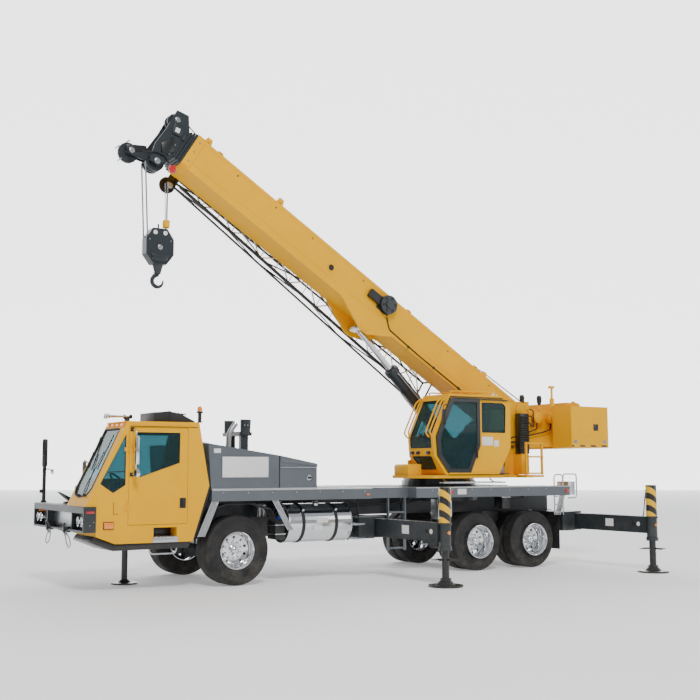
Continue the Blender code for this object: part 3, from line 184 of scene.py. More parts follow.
def sheet_metal(name, points, step, mat, body, edge=0.004, steps=2):
    """A plate: a flat outline pushed out by a step."""
    obj = face_of(points)
    edit(obj)
    bpy.ops.mesh.extrude_region_move(TRANSFORM_OT_translate={"value": Vector(step)})
    bpy.ops.mesh.select_all(action="SELECT")
    bpy.ops.mesh.normals_make_consistent(inside=False)
    leave_edit()
    bevel(obj, edge, steps)
    return settle(obj, name, mat, body)


def side_plate(name, outline, y0, y1, mat, body, edge=0.004, steps=2):
    """A plate seen from the side: an outline of (x, z) points between two widths."""
    return sheet_metal(name, [at(x, y0, z) for x, z in outline], (0, y1 - y0, 0), mat, body, edge, steps)


def boom_plate(name, outline, y0, y1, mat, body, edge=0.004, steps=2):
    """A plate seen from the side, placed along the boom: an outline of (u, v) points."""
    return sheet_metal(
        name, [on_boom(u, y0, v) for u, v in outline], (0, y1 - y0, 0), mat, body, edge, steps)


def boom_block(name, u0, u1, y0, y1, v0, v1, mat, body, edge=0.006):
    """A box lying along the boom."""
    return boom_plate(name, [(u0, v0), (u1, v0), (u1, v1), (u0, v1)], y0, y1, mat, body, edge)


def across(axis):
    """A direction square to an axis."""
    axis = Vector(axis).normalized()
    other = Vector((0, 0, 1)) if abs(axis.z) < 0.9 else Vector((1, 0, 0))
    return (other - axis * other.dot(axis)).normalized()


def spun(name, profile, centre, axis, mat, body, steps=32, smooth=32, edge=0.0):
    """A turned piece: a profile of (along, radius) points spun about an axis through a centre."""
    centre, axis = Vector(centre), Vector(axis).normalized()
    side = across(axis)
    deselect()
    bpy.ops.mesh.primitive_circle_add(vertices=len(profile), radius=1, fill_type="NOTHING")
    obj = bpy.context.object
    for vert, (along, radius) in zip(obj.data.vertices, profile):
        vert.co = centre + axis * along + side * radius
    edit(obj)
    bpy.ops.mesh.spin(steps=steps, angle=2 * PI, center=centre, axis=axis, use_auto_merge=True)
    bpy.ops.mesh.select_all(action="SELECT")
    bpy.ops.mesh.remove_doubles(threshold=0.00002)
    bpy.ops.mesh.delete_loose()
    leave_edit()
    bevel(obj, edge)
    return settle(obj, name, mat, body, smooth)


def rod_profile(length, radius, chamfer=0.003):
    """Profile of a plain round bar with broken edges."""
    c = min(chamfer, radius * 0.4, length * 0.3)
    return [(0, 0), (0, radius - c), (c, radius), (length - c, radius), (length, radius - c), (length, 0)]


def pin(name, start, end, radius, mat, body, steps=20, chamfer=0.003):
    """A round bar between two places."""
    start, end = Vector(start), Vector(end)
    run = end - start
    return spun(name, rod_profile(run.length, radius, chamfer), start, run, mat, body, steps)


def rounded(points, radius, closed=False, steps=5):
    """A path with its corners turned into short arcs."""
    points = [Vector(p) for p in points]
    count = len(points)
    path = []
    for i, here in enumerate(points):
        if not closed and i in (0, count - 1):
            path.append(here)
            continue
        before, after = points[i - 1], points[(i + 1) % count]
        reach = min(radius, (before - here).length * 0.45, (after - here).length * 0.45)
        a = here + (before - here).normalized() * reach
        b = here + (after - here).normalized() * reach
        for k in range(steps + 1):
            t = k / steps
            path.append(a * (1 - t) ** 2 + here * 2 * t * (1 - t) + b * t * t)
    return path


def tube(name, points, radius, mat, body, bend=0.05, closed=False, sides=3):
    """A bent round tube along a path."""
    path = rounded(points, bend, closed) if bend else [Vector(p) for p in points]
    deselect()
    curve = bpy.data.curves.new(name, "CURVE")
    curve.dimensions = "3D"
    curve.bevel_depth = radius
    curve.bevel_resolution = sides
    curve.use_fill_caps = not closed
    spline = curve.splines.new("POLY")
    spline.points.add(len(path) - 1)
    for point, place in zip(spline.points, path):
        point.co = (*place, 1)
    spline.use_cyclic_u = closed
    obj = bpy.data.objects.new(name, curve)
    bpy.context.scene.collection.objects.link(obj)
    focus(obj)
    bpy.ops.object.convert(target="MESH")
    obj = bpy.context.object
    edit(obj)
    bpy.ops.mesh.remove_doubles(threshold=0.00001)
    leave_edit()
    return settle(obj, name, mat, body, 50)


def joined(name, parts):
    """Join pieces of one finish and one body into one."""
    deselect()
    for part in parts:
        part.select_set(True)
    bpy.context.view_layer.objects.active = parts[0]
    bpy.ops.object.join()
    obj = bpy.context.object
    obj.name = name
    obj.data.name = name
    return obj


def copies(obj, name, moves):
    """The piece and its copies at the given shifts, as one piece."""
    parts = [obj]
    for shift in moves:
        twin = obj.copy()
        twin.data = obj.data.copy()
        bpy.context.scene.collection.objects.link(twin)
        twin.data.transform(Matrix.Translation(Vector(shift)))
        parts.append(twin)
    return joined(name, parts)


def ring_of(obj, name, count, centre, axis):
    """The piece repeated around an axis, as one piece."""
    centre = Vector(centre)
    parts = [obj]
    for k in range(1, count):
        twin = obj.copy()
        twin.data = obj.data.copy()
        bpy.context.scene.collection.objects.link(twin)
        turn = Matrix.Rotation(2 * PI * k / count, 4, Vector(axis))
        twin.data.transform(Matrix.Translation(centre) @ turn @ Matrix.Translation(-centre))
        parts.append(twin)
    return joined(name, parts)


def carved(obj, cutters):
    """Cut holes in a piece and remove the cutters."""
    for cutter in cutters:
        focus(obj)
        mod = obj.modifiers.new("cut", "BOOLEAN")
        mod.operation = "DIFFERENCE"
        mod.solver = "EXACT"
        mod.object = cutter
        bpy.ops.object.modifier_apply(modifier=mod.name)
        bpy.data.objects.remove(cutter)
    return obj


def bolts(name, places, axis, radius, mat, body, height=None):
    """Hexagon bolt heads standing on a surface."""
    axis = Vector(axis).normalized()
    height = height or radius * 0.8
    first = Vector(places[0])
    deselect()
    turn = Vector((0, 0, 1)).rotation_difference(axis).to_euler()
    bpy.ops.mesh.primitive_cylinder_add(
        vertices=6, radius=radius, depth=height, location=first + axis * height / 2, rotation=turn)
    obj = bpy.context.object
    bpy.ops.object.transform_apply(location=True, rotation=True, scale=True)
    bevel(obj, radius * 0.14, 1)
    head = settle(obj, name, mat, body, 20)
    return copies(head, name, [Vector(p) - first for p in places[1:]])


# ---------------------------------------------------------------- shader groups


class Sheet:
    """A short way to add and wire nodes in one node tree."""

    def __init__(self, tree):
        self.tree = tree

    def add(self, kind, **values):
        node = self.tree.nodes.new(kind)
        for key, value in values.items():
            setattr(node, key, value)
        return node

    def wire(self, source, target):
        self.tree.links.new(source, target)

    def math(self, operation, a, b=None, clamp=False):
        node = self.add("ShaderNodeMath", operation=operation, use_clamp=clamp)
        for index, value in enumerate((a, b)):
            if value is None:
                continue
            if isinstance(value, (int, float)):
                node.inputs[index].default_value = value
            else:
                self.wire(value, node.inputs[index])
        return node.outputs[0]

    def noise(self, vector, scale, detail=3.0, rough=0.5):
        node = self.add("ShaderNodeTexNoise")
        node.inputs["Detail"].default_value = detail
        node.inputs["Roughness"].default_value = rough
        self.wire(vector, node.inputs["Vector"])
        if isinstance(scale, (int, float)):
            node.inputs["Scale"].default_value = scale
        else:
            self.wire(scale, node.inputs["Scale"])
        return node.outputs["Fac"]

    def ramp(self, value, low, high, to_low=0.0, to_high=1.0):
        node = self.add("ShaderNodeMapRange", clamp=True)
        self.wire(value, node.inputs["Value"])
        for key, number in (("From Min", low), ("From Max", high), ("To Min", to_low), ("To Max", to_high)):
            if isinstance(number, (int, float)):
                node.inputs[key].default_value = number
            else:
                self.wire(number, node.inputs[key])
        return node.outputs["Result"]

    def mix(self, share, a, b):
        node = self.add("ShaderNodeMix", data_type="RGBA")
        for key, value in ((0, share), (6, a), (7, b)):
            if isinstance(value, (int, float, tuple)):
                node.inputs[key].default_value = value
            else:
                self.wire(value, node.inputs[key])
        return node.outputs[2]


def new_group(name, inputs, outputs):
    """An empty shader group with named sockets."""
    tree = bpy.data.node_groups.new(name, "ShaderNodeTree")
    for label, kind, value in inputs:
        socket = tree.interface.new_socket(name=label, in_out="INPUT", socket_type=kind)
        socket.default_value = value
    for label, kind in outputs:
        tree.interface.new_socket(name=label, in_out="OUTPUT", socket_type=kind)
    sheet = Sheet(tree)
    return tree, sheet, sheet.add("NodeGroupInput"), sheet.add("NodeGroupOutput")


FLOAT, COLOUR, VECTOR = "NodeSocketFloat", "NodeSocketColor", "NodeSocketVector"


def road_dust_group():
    """Dust that gathers low down, in patches, over a base colour."""
    tree, s, get, put = new_group(
        "road_dust",
        [
            ("Base", COLOUR, (1, 1, 1, 1)), ("Dust", COLOUR, (0.3, 0.26, 0.2, 1)), ("Height", FLOAT, 1.2),
            ("Amount", FLOAT, 0.5)],
        [("Color", COLOUR), ("Mask", FLOAT)])
    place = s.add("ShaderNodeTexCoord").outputs["Object"]
    split = s.add("ShaderNodeSeparateXYZ")
    s.wire(place, split.inputs[0])
    low = s.ramp(split.outputs["Z"], 0.0, get.outputs["Height"], 1.0, 0.0)
    patches = s.ramp(s.noise(place, 5.0, 6.0, 0.65), 0.38, 0.68)
    fine = s.ramp(s.noise(place, 55.0, 3.0), 0.3, 0.75, 0.5, 1.0)
    mask = s.math(
        "MULTIPLY", s.math("MULTIPLY", low, patches), s.math("MULTIPLY", fine, get.outputs["Amount"]))
    mask = s.math("MAXIMUM", mask, 0.0, True)
    s.wire(s.mix(mask, get.outputs["Base"], get.outputs["Dust"]), put.inputs["Color"])
    s.wire(mask, put.inputs["Mask"])
    return tree


def paint_skin_group():
    """Sprayed paint: fine ripple for the bump, soft mottling for colour and gloss, and run-off streaks."""
    tree, s, get, put = new_group(
        "paint_skin", [("Ripple", FLOAT, 160.0), ("Streaks", FLOAT, 0.3)],
        [("Height", FLOAT), ("Mottle", FLOAT), ("Streak", FLOAT)])
    place = s.add("ShaderNodeTexCoord").outputs["Object"]
    s.wire(s.noise(place, get.outputs["Ripple"], 1.5), put.inputs["Height"])
    s.wire(s.noise(place, 1.7, 5.0, 0.6), put.inputs["Mottle"])
    squeeze = s.add("ShaderNodeMapping")
    squeeze.inputs["Scale"].default_value = (14.0, 14.0, 0.7)
    s.wire(place, squeeze.inputs["Vector"])
    streak = s.ramp(s.noise(squeeze.outputs[0], 1.0, 4.0, 0.6), 0.56, 0.78)
    s.wire(s.math("MULTIPLY", streak, get.outputs["Streaks"]), put.inputs["Streak"])
    return tree


def scuffs_group():
    """Small chips through to what lies under a coat."""
    tree, s, get, put = new_group(
        "scuffs", [("Amount", FLOAT, 0.3), ("Scale", FLOAT, 30.0)], [("Mask", FLOAT)])
    place = s.add("ShaderNodeTexCoord").outputs["Object"]
    chips = s.add("ShaderNodeTexVoronoi")
    s.wire(place, chips.inputs["Vector"])
    s.wire(get.outputs["Scale"], chips.inputs["Scale"])
    spots = s.ramp(chips.outputs["Distance"], 0.05, 0.09, 1.0, 0.0)
    where = s.ramp(s.noise(place, 3.0, 4.0, 0.7), 0.55, 0.66)
    both = s.math("MULTIPLY", spots, where)
    s.wire(s.math("MULTIPLY", both, get.outputs["Amount"], True), put.inputs["Mask"])
    return tree


def brushed_group():
    """Long fine lines left by rolling or polishing."""
    tree, s, get, put = new_group(
        "brushed", [("Stretch", VECTOR, (1, 40, 40)), ("Scale", FLOAT, 8.0)],
        [("Height", FLOAT), ("Lines", FLOAT)])
    place = s.add("ShaderNodeTexCoord").outputs["Object"]
    squeeze = s.add("ShaderNodeVectorMath", operation="MULTIPLY")
    s.wire(place, squeeze.inputs[0])
    s.wire(get.outputs["Stretch"], squeeze.inputs[1])
    lines = s.noise(squeeze.outputs[0], get.outputs["Scale"], 4.0, 0.6)
    s.wire(lines, put.inputs["Height"])
    s.wire(lines, put.inputs["Lines"])
    return tree


def tread_plate_group():
    """Raised lozenges in alternating directions, as rolled on walkway plate."""
    tree, s, get, put = new_group(
        "tread_plate", [("Across", VECTOR, (1, 0, 0)), ("Up", VECTOR, (0, 1, 0)), ("Pitch", FLOAT, 0.034)],
        [("Height", FLOAT)])
    place = s.add("ShaderNodeTexCoord").outputs["Object"]
    runs = []
    for label in ("Across", "Up"):
        dot = s.add("ShaderNodeVectorMath", operation="DOT_PRODUCT")
        s.wire(place, dot.inputs[0])
        s.wire(get.outputs[label], dot.inputs[1])
        runs.append(s.math("DIVIDE", dot.outputs["Value"], get.outputs["Pitch"]))
    a = s.math("ADD", runs[0], runs[1])
    b = s.math("SUBTRACT", runs[0], runs[1])
    fa = s.math("SUBTRACT", s.math("FRACT", a), 0.5)
    fb = s.math("SUBTRACT", s.math("FRACT", b), 0.5)
    odd = s.math("MODULO", s.math("ABSOLUTE", s.math("ADD", s.math("FLOOR", a), s.math("FLOOR", b))), 2.0)
    lozenges = []
    for long, short in ((fa, fb), (fb, fa)):
        l2 = s.math("POWER", s.math("ABSOLUTE", s.math("DIVIDE", long, 0.44)), 2.0)
        s2 = s.math("POWER", s.math("ABSOLUTE", s.math("DIVIDE", short, 0.15)), 2.0)
        lozenges.append(s.math("SUBTRACT", 1.0, s.math("ADD", l2, s2), True))
    first = s.math("MULTIPLY", lozenges[0], s.math("SUBTRACT", 1.0, odd))
    second = s.math("MULTIPLY", lozenges[1], odd)
    s.wire(s.ramp(s.math("ADD", first, second), 0.0, 0.35), put.inputs["Height"])
    return tree


def hazard_group():
    """Slanted warning stripes that climb round an upright post."""
    tree, s, get, put = new_group("hazard_stripes", [("Pitch", FLOAT, 0.22)], [("Mask", FLOAT)])
    place = s.add("ShaderNodeTexCoord").outputs["Object"]
    split = s.add("ShaderNodeSeparateXYZ")
    s.wire(place, split.inputs[0])
    slant = s.math("SUBTRACT", split.outputs["Z"], s.math("MULTIPLY", split.outputs["X"], 0.75))
    share = s.math("FRACT", s.math("DIVIDE", slant, get.outputs["Pitch"]))
    s.wire(s.math("GREATER_THAN", share, 0.5), put.inputs["Mask"])
    return tree


def weave_group():
    """Plain woven cloth from crossed threads."""
    tree, s, get, put = new_group("weave", [("Count", FLOAT, 900.0)], [("Height", FLOAT), ("Tone", FLOAT)])
    place = s.add("ShaderNodeTexCoord").outputs["Object"]
    split = s.add("ShaderNodeSeparateXYZ")
    s.wire(place, split.inputs[0])
    across_x = s.math(
        "SINE",
        s.math("MULTIPLY", s.math("ADD", split.outputs["X"], split.outputs["Z"]), get.outputs["Count"]))
    across_y = s.math("SINE", s.math("MULTIPLY", split.outputs["Y"], get.outputs["Count"]))
    s.wire(s.math("MULTIPLY", across_x, across_y), put.inputs["Height"])
    s.wire(s.noise(place, 35.0, 5.0, 0.6), put.inputs["Tone"])
    return tree


GROUPS = {}
MADE = {}


def build_groups():
    GROUPS.update(
        dust=road_dust_group(), skin=paint_skin_group(), scuffs=scuffs_group(), brushed=brushed_group(),
        plate=tread_plate_group(), hazard=hazard_group(), weave=weave_group())


def use(s, key, **values):
    """Place a shader group in a material with its own values."""
    node = s.add("ShaderNodeGroup", node_tree=GROUPS[key])
    for label, value in values.items():
        node.inputs[label].default_value = value
    return node


def start_material(name, colour, rough, metal):
    mat = bpy.data.materials.new(name)
    mat.use_nodes = True
    s = Sheet(mat.node_tree)
    shader = principled(mat)
    shader.inputs["Base Color"].default_value = (*colour, 1)
    shader.inputs["Roughness"].default_value = rough
    shader.inputs["Metallic"].default_value = metal
    return mat, s, shader


def principled(mat):
    return next(n for n in mat.node_tree.nodes if n.type == "BSDF_PRINCIPLED")


def bump(s, shader, height, strength, distance):
    node = s.add("ShaderNodeBump")
    node.inputs["Strength"].default_value = strength
    node.inputs["Distance"].default_value = distance
    s.wire(height, node.inputs["Height"])
    s.wire(node.outputs[0], shader.inputs["Normal"])


def darker(colour, share):
    return tuple(c * share for c in colour) + (1.0,)


def paint(
    name, colour, rough=0.32, coat=0.6, dust=0.35, height=1.4, scuff=0.25, under=(0.12, 0.12, 0.12),
    streaks=0.3):
    """Sprayed paint with mottling, streaks, chips and road dust."""
    mat, s, shader = start_material(name, colour, rough, 0.0)
    shader.inputs["Coat Weight"].default_value = coat
    shader.inputs["Coat Roughness"].default_value = 0.12
    skin = use(s, "skin", Streaks=streaks)
    tone = s.mix(s.ramp(skin.outputs["Mottle"], 0.3, 0.7), darker(colour, 0.93), darker(colour, 1.04))
    tone = s.mix(skin.outputs["Streak"], tone, darker(colour, 0.72))
    chips = use(s, "scuffs", Amount=scuff)
    tone = s.mix(chips.outputs["Mask"], tone, (*under, 1))
    dirt = use(s, "dust", Height=height, Amount=dust)
    s.wire(tone, dirt.inputs["Base"])
    s.wire(dirt.outputs["Color"], shader.inputs["Base Color"])
    gloss = s.ramp(skin.outputs["Mottle"], 0.3, 0.7, rough - 0.05, rough + 0.07)
    s.wire(
        s.math("ADD", gloss, s.math("MULTIPLY", dirt.outputs["Mask"], 0.45), True),
        shader.inputs["Roughness"])
    bump(s, shader, skin.outputs["Height"], 0.06, 0.001)
    return mat


def tread_metal(name, colour, rough, metal, across_dir, up_dir, pitch=0.034, dust=0.35):
    """Walkway plate with raised lozenges that are rubbed brighter than the ground between them."""
    mat, s, shader = start_material(name, colour, rough, metal)
    plate = use(s, "plate", Across=across_dir, Up=up_dir, Pitch=pitch)
    tone = s.mix(plate.outputs["Height"], darker(colour, 0.8), darker(colour, 1.35))
    dirt = use(s, "dust", Height=2.4, Amount=dust)
    s.wire(tone, dirt.inputs["Base"])
    s.wire(dirt.outputs["Color"], shader.inputs["Base Color"])
    s.wire(s.ramp(plate.outputs["Height"], 0, 1, rough + 0.1, rough - 0.1), shader.inputs["Roughness"])
    bump(s, shader, plate.outputs["Height"], 0.7, 0.002)
    return mat


def metal_finish(name, colour, rough, stretch=(1, 40, 40), scale=8.0, dust=0.12, strength=0.05):
    """Bare rolled, turned or polished metal."""
    mat, s, shader = start_material(name, colour, rough, 1.0)
    lines = use(s, "brushed", Stretch=stretch, Scale=scale)
    tone = s.mix(lines.outputs["Lines"], darker(colour, 0.86), darker(colour, 1.06))
    dirt = use(s, "dust", Height=1.0, Amount=dust)
    s.wire(tone, dirt.inputs["Base"])
    s.wire(dirt.outputs["Color"], shader.inputs["Base Color"])
    gloss = s.ramp(lines.outputs["Lines"], 0.3, 0.7, rough * 0.8, rough * 1.25)
    s.wire(
        s.math("ADD", gloss, s.math("MULTIPLY", dirt.outputs["Mask"], 0.5), True),
        shader.inputs["Roughness"])
    bump(s, shader, lines.outputs["Height"], strength, 0.001)
    return mat


def moulded(name, colour, rough=0.6, grain=260.0, strength=0.25, dust=0.3, height=1.2):
    """Moulded rubber or plastic with a fine grain."""
    mat, s, shader = start_material(name, colour, rough, 0.0)
    place = s.add("ShaderNodeTexCoord").outputs["Object"]
    fine = s.noise(place, grain, 2.0)
    broad = s.noise(place, 6.0, 4.0, 0.6)
    tone = s.mix(s.ramp(broad, 0.3, 0.7), darker(colour, 0.82), darker(colour, 1.25))
    dirt = use(s, "dust", Height=height, Amount=dust)
    s.wire(tone, dirt.inputs["Base"])
    s.wire(dirt.outputs["Color"], shader.inputs["Base Color"])
    s.wire(s.ramp(broad, 0.3, 0.7, rough - 0.06, rough + 0.08), shader.inputs["Roughness"])
    bump(s, shader, fine, strength, 0.0006)
    return mat


def glass(name, colour, rough=0.02, through=0.9):
    """Tinted safety glass with a faint film of dust."""
    mat, s, shader = start_material(name, colour, rough, 0.0)
    shader.inputs["Transmission Weight"].default_value = through
    shader.inputs["IOR"].default_value = 1.2
    place = s.add("ShaderNodeTexCoord").outputs["Object"]
    film = s.ramp(s.noise(place, 2.5, 6.0, 0.7), 0.45, 0.8, rough, rough + 0.06)
    s.wire(film, shader.inputs["Roughness"])
    return mat


def lens(name, colour, glow=0.0):
    """A moulded lamp lens with fine flutes."""
    mat, s, shader = start_material(name, colour, 0.12, 0.0)
    shader.inputs["Coat Weight"].default_value = 0.8
    place = s.add("ShaderNodeTexCoord").outputs["Object"]
    split = s.add("ShaderNodeSeparateXYZ")
    s.wire(place, split.inputs[0])
    flutes = s.math(
        "SINE", s.math("MULTIPLY", s.math("ADD", split.outputs["X"], split.outputs["Y"]), 700.0))
    tone = s.mix(s.ramp(flutes, -1, 1), darker(colour, 0.75), darker(colour, 1.1))
    s.wire(tone, shader.inputs["Base Color"])
    shader.inputs["Emission Color"].default_value = (*colour, 1)
    shader.inputs["Emission Strength"].default_value = glow
    bump(s, shader, flutes, 0.3, 0.001)
    return mat


def striped(name, light, dark):
    """Yellow and black warning paint."""
    mat, s, shader = start_material(name, light, 0.35, 0.0)
    shader.inputs["Coat Weight"].default_value = 0.4
    stripes = use(s, "hazard")
    tone = s.mix(stripes.outputs["Mask"], (*light, 1), (*dark, 1))
    chips = use(s, "scuffs", Amount=0.35, Scale=22.0)
    tone = s.mix(chips.outputs["Mask"], tone, (0.1, 0.1, 0.1, 1))
    dirt = use(s, "dust", Height=2.2, Amount=0.25)
    s.wire(tone, dirt.inputs["Base"])
    s.wire(dirt.outputs["Color"], shader.inputs["Base Color"])
    return mat


def woven(name, colour):
    """Hard-wearing seat cloth."""
    mat, s, shader = start_material(name, colour, 0.85, 0.0)
    shader.inputs["Sheen Weight"].default_value = 0.3
    cloth = use(s, "weave")
    tone = s.mix(s.ramp(cloth.outputs["Tone"], 0.3, 0.7), darker(colour, 0.75), darker(colour, 1.3))
    s.wire(tone, shader.inputs["Base Color"])
    bump(s, shader, cloth.outputs["Height"], 0.35, 0.0008)
    return mat


def build_materials():
    """Every finish the crane has, by name."""
    build_groups()
    m = MADE
    m["yellow"] = paint(
        "crane_yellow_paint", (0.93, 0.455, 0.0), 0.48, 0.0, 0.06, 1.5, 0.06, (0.4, 0.22, 0.03), 0.1)
    principled(m["yellow"]).inputs["Specular IOR Level"].default_value = 0.16
    m["charcoal"] = paint(
        "charcoal_paint", (0.016, 0.023, 0.027), 0.4, 0.2, 0.22, 1.5, 0.25, (0.12, 0.11, 0.1), 0.3)
    m["black"] = paint(
        "black_paint", (0.008, 0.009, 0.01), 0.36, 0.25, 0.15, 1.5, 0.25, (0.1, 0.1, 0.1), 0.2)
    m["grey"] = paint(
        "hood_grey_paint", (0.105, 0.122, 0.138), 0.34, 0.4, 0.2, 2.0, 0.15, (0.3, 0.3, 0.3), 0.3)
    m["engine"] = paint(
        "engine_enamel", (0.09, 0.09, 0.09), 0.6, 0.1, 0.5, 2.0, 0.4, (0.2, 0.12, 0.08), 0.4)
    m["white"] = paint(
        "blank_plate_white", (0.82, 0.82, 0.8), 0.4, 0.3, 0.12, 1.5, 0.05, (0.5, 0.5, 0.5), 0.1)
    m["deck"] = tread_metal("deck_tread_plate", (0.30, 0.32, 0.34), 0.42, 0.55, (1, 0, 0), (0, 1, 0))
    m["deck_side"] = tread_metal(
        "arch_tread_plate", (0.42, 0.44, 0.46), 0.36, 0.8, (1, 0, 0), (0, 0, 1), 0.03)
    m["alu"] = metal_finish("rolled_aluminium", (0.62, 0.64, 0.66), 0.36)
    m["polished"] = metal_finish("polished_aluminium", (0.83, 0.84, 0.86), 0.13, (6, 6, 6), 5.0, 0.1, 0.02)
    m["chrome"] = metal_finish("chrome_plate", (0.86, 0.87, 0.88), 0.06, (3, 3, 3), 4.0, 0.04, 0.01)
    m["steel"] = metal_finish("bare_steel", (0.42, 0.43, 0.44), 0.38, (1, 30, 30), 10.0, 0.25, 0.08)
    m["rod"] = metal_finish("hard_chrome_rod", (0.72, 0.74, 0.76), 0.12, (30, 30, 2), 9.0, 0.05, 0.02)
    m["rope"] = metal_finish("wire_rope", (0.33, 0.33, 0.34), 0.45, (90, 90, 420), 1.0, 0.0, 0.6)
    m["tyre"] = moulded("tyre_rubber", (0.010, 0.010, 0.011), 0.7, 420.0, 0.35, 0.28, 1.3)
    m["rubber"] = moulded("black_rubber", (0.014, 0.014, 0.015), 0.62, 300.0, 0.2, 0.15)
    m["plastic"] = moulded("black_plastic", (0.02, 0.021, 0.022), 0.48, 340.0, 0.25, 0.15)
    m["trim"] = moulded("cab_trim_plastic", (0.045, 0.047, 0.05), 0.62, 260.0, 0.3, 0.1)
    m["glass"] = glass("tinted_glass", (0.12, 0.27, 0.30), 0.015)
    m["clear"] = glass("lamp_glass", (0.92, 0.95, 0.97), 0.03)
    m["amber"] = lens("amber_lens", (0.95, 0.26, 0.01), 0.15)
    m["red"] = lens("red_lens", (0.55, 0.01, 0.01), 0.1)
    m["stripes"] = striped("warning_stripes", (0.92, 0.52, 0.0), (0.012, 0.012, 0.013))
    m["cloth"] = woven("seat_cloth", (0.05, 0.055, 0.062))
    return m


# ---------------------------------------------------------------- frame nodes


def dress_nodes(nodes, m):
    """Give every frame node its finish."""
    finishes = {
        "yellow": [
            "boom_base", "carrier_cab", "carrier_door", "counterweight", "crane_cab", "turntable",
            "winches"],
        "charcoal": [
            "front_bumper", "boom_mid_inner", "boom_mid_outer", "boom_tip", "boom_head", "boom_rest",
            "chassis_frame", "front_axle", "rear_tandem", "hydraulic_tank", "front_cowl",
            "outrigger_box_front", "outrigger_box_rear", "beam_front_left", "beam_front_right",
            "beam_rear_left", "beam_rear_right", "knuckle_left", "knuckle_right", "lift_barrel",
            "hook_block"],
        "black": [
            "slew_ring", "crane_cab_door", "jib", "jack_front_left", "jack_front_right", "jack_rear_left",
            "jack_rear_right", "nose_jack"],
        "grey": ["engine_hood", "deck_left", "deck_right"], "engine": ["engine_block"],
        "trim": ["steering_column"], "rod": ["lift_rod"],
        "polished": ["fuel_tank"] + [n for n in nodes if n.startswith("rim")],
        "tyre": [n for n in nodes if n.startswith("tyre")], "cloth": ["driver_seat", "operator_seat"],}
    for key, names in finishes.items():
        for name in names:
            nodes[name].data.materials.clear()
            nodes[name].data.materials.append(m[key])


# ---------------------------------------------------------------- wheels


def tyre_section(outer, width):
    """Profile of a highway tyre: bead, bulging sidewall with rings, shoulder and grooved tread."""
    half = width / 2
    side = [
        (-half + 0.028, RIM_R + 0.002), (-half + 0.012, RIM_R + 0.022), (-half + 0.004, RIM_R + 0.05),
        (-half, RIM_R + 0.10), (-half - 0.0, RIM_R + 0.112), (-half + 0.004, RIM_R + 0.115),
        (-half + 0.002, RIM_R + 0.135), (-half + 0.008, outer - 0.065), (-half + 0.003, outer - 0.06),
        (-half + 0.006, outer - 0.045), (-half + 0.014, outer - 0.022), (-half + 0.028, outer - 0.006)]
    tread = []
    land = (width - 0.056) / 5
    for k in range(5):
        a = -half + 0.028 + land * k
        if k:
            tread += [(a + 0.005, outer - 0.016), (a + 0.006, outer - 0.001)]
        tread += [(a + land - 0.006, outer - 0.001)]
        if k < 4:
            tread += [(a + land - 0.005, outer - 0.016)]
    return side + tread + [(-a, r) for a, r in reversed(side)]


def wheel_disc(s, face):
    """Profile of a forged wheel from lip to hub; face is where its disc stands, outward positive."""
    lip = FRONT_W / 2 - 0.012
    return [
        (s * a, r)
        for a, r in [
            (lip, RIM_R + 0.006), (lip + 0.004, RIM_R - 0.004), (lip - 0.01, RIM_R - 0.016),
            (lip - 0.035, RIM_R - 0.03), (face + 0.03, RIM_R - 0.045), (face + 0.012, RIM_R - 0.075),
            (face, 0.17), (face + 0.004, 0.13), (face + 0.004, 0.06), (face - 0.02, 0.06),
            (face - 0.02, 0.17), (face - 0.01, RIM_R - 0.07), (face + 0.01, RIM_R - 0.03),
            (lip - 0.05, RIM_R - 0.012), (-lip + 0.05, RIM_R - 0.012), (-lip, RIM_R - 0.002),
            (-lip, RIM_R + 0.006)]]


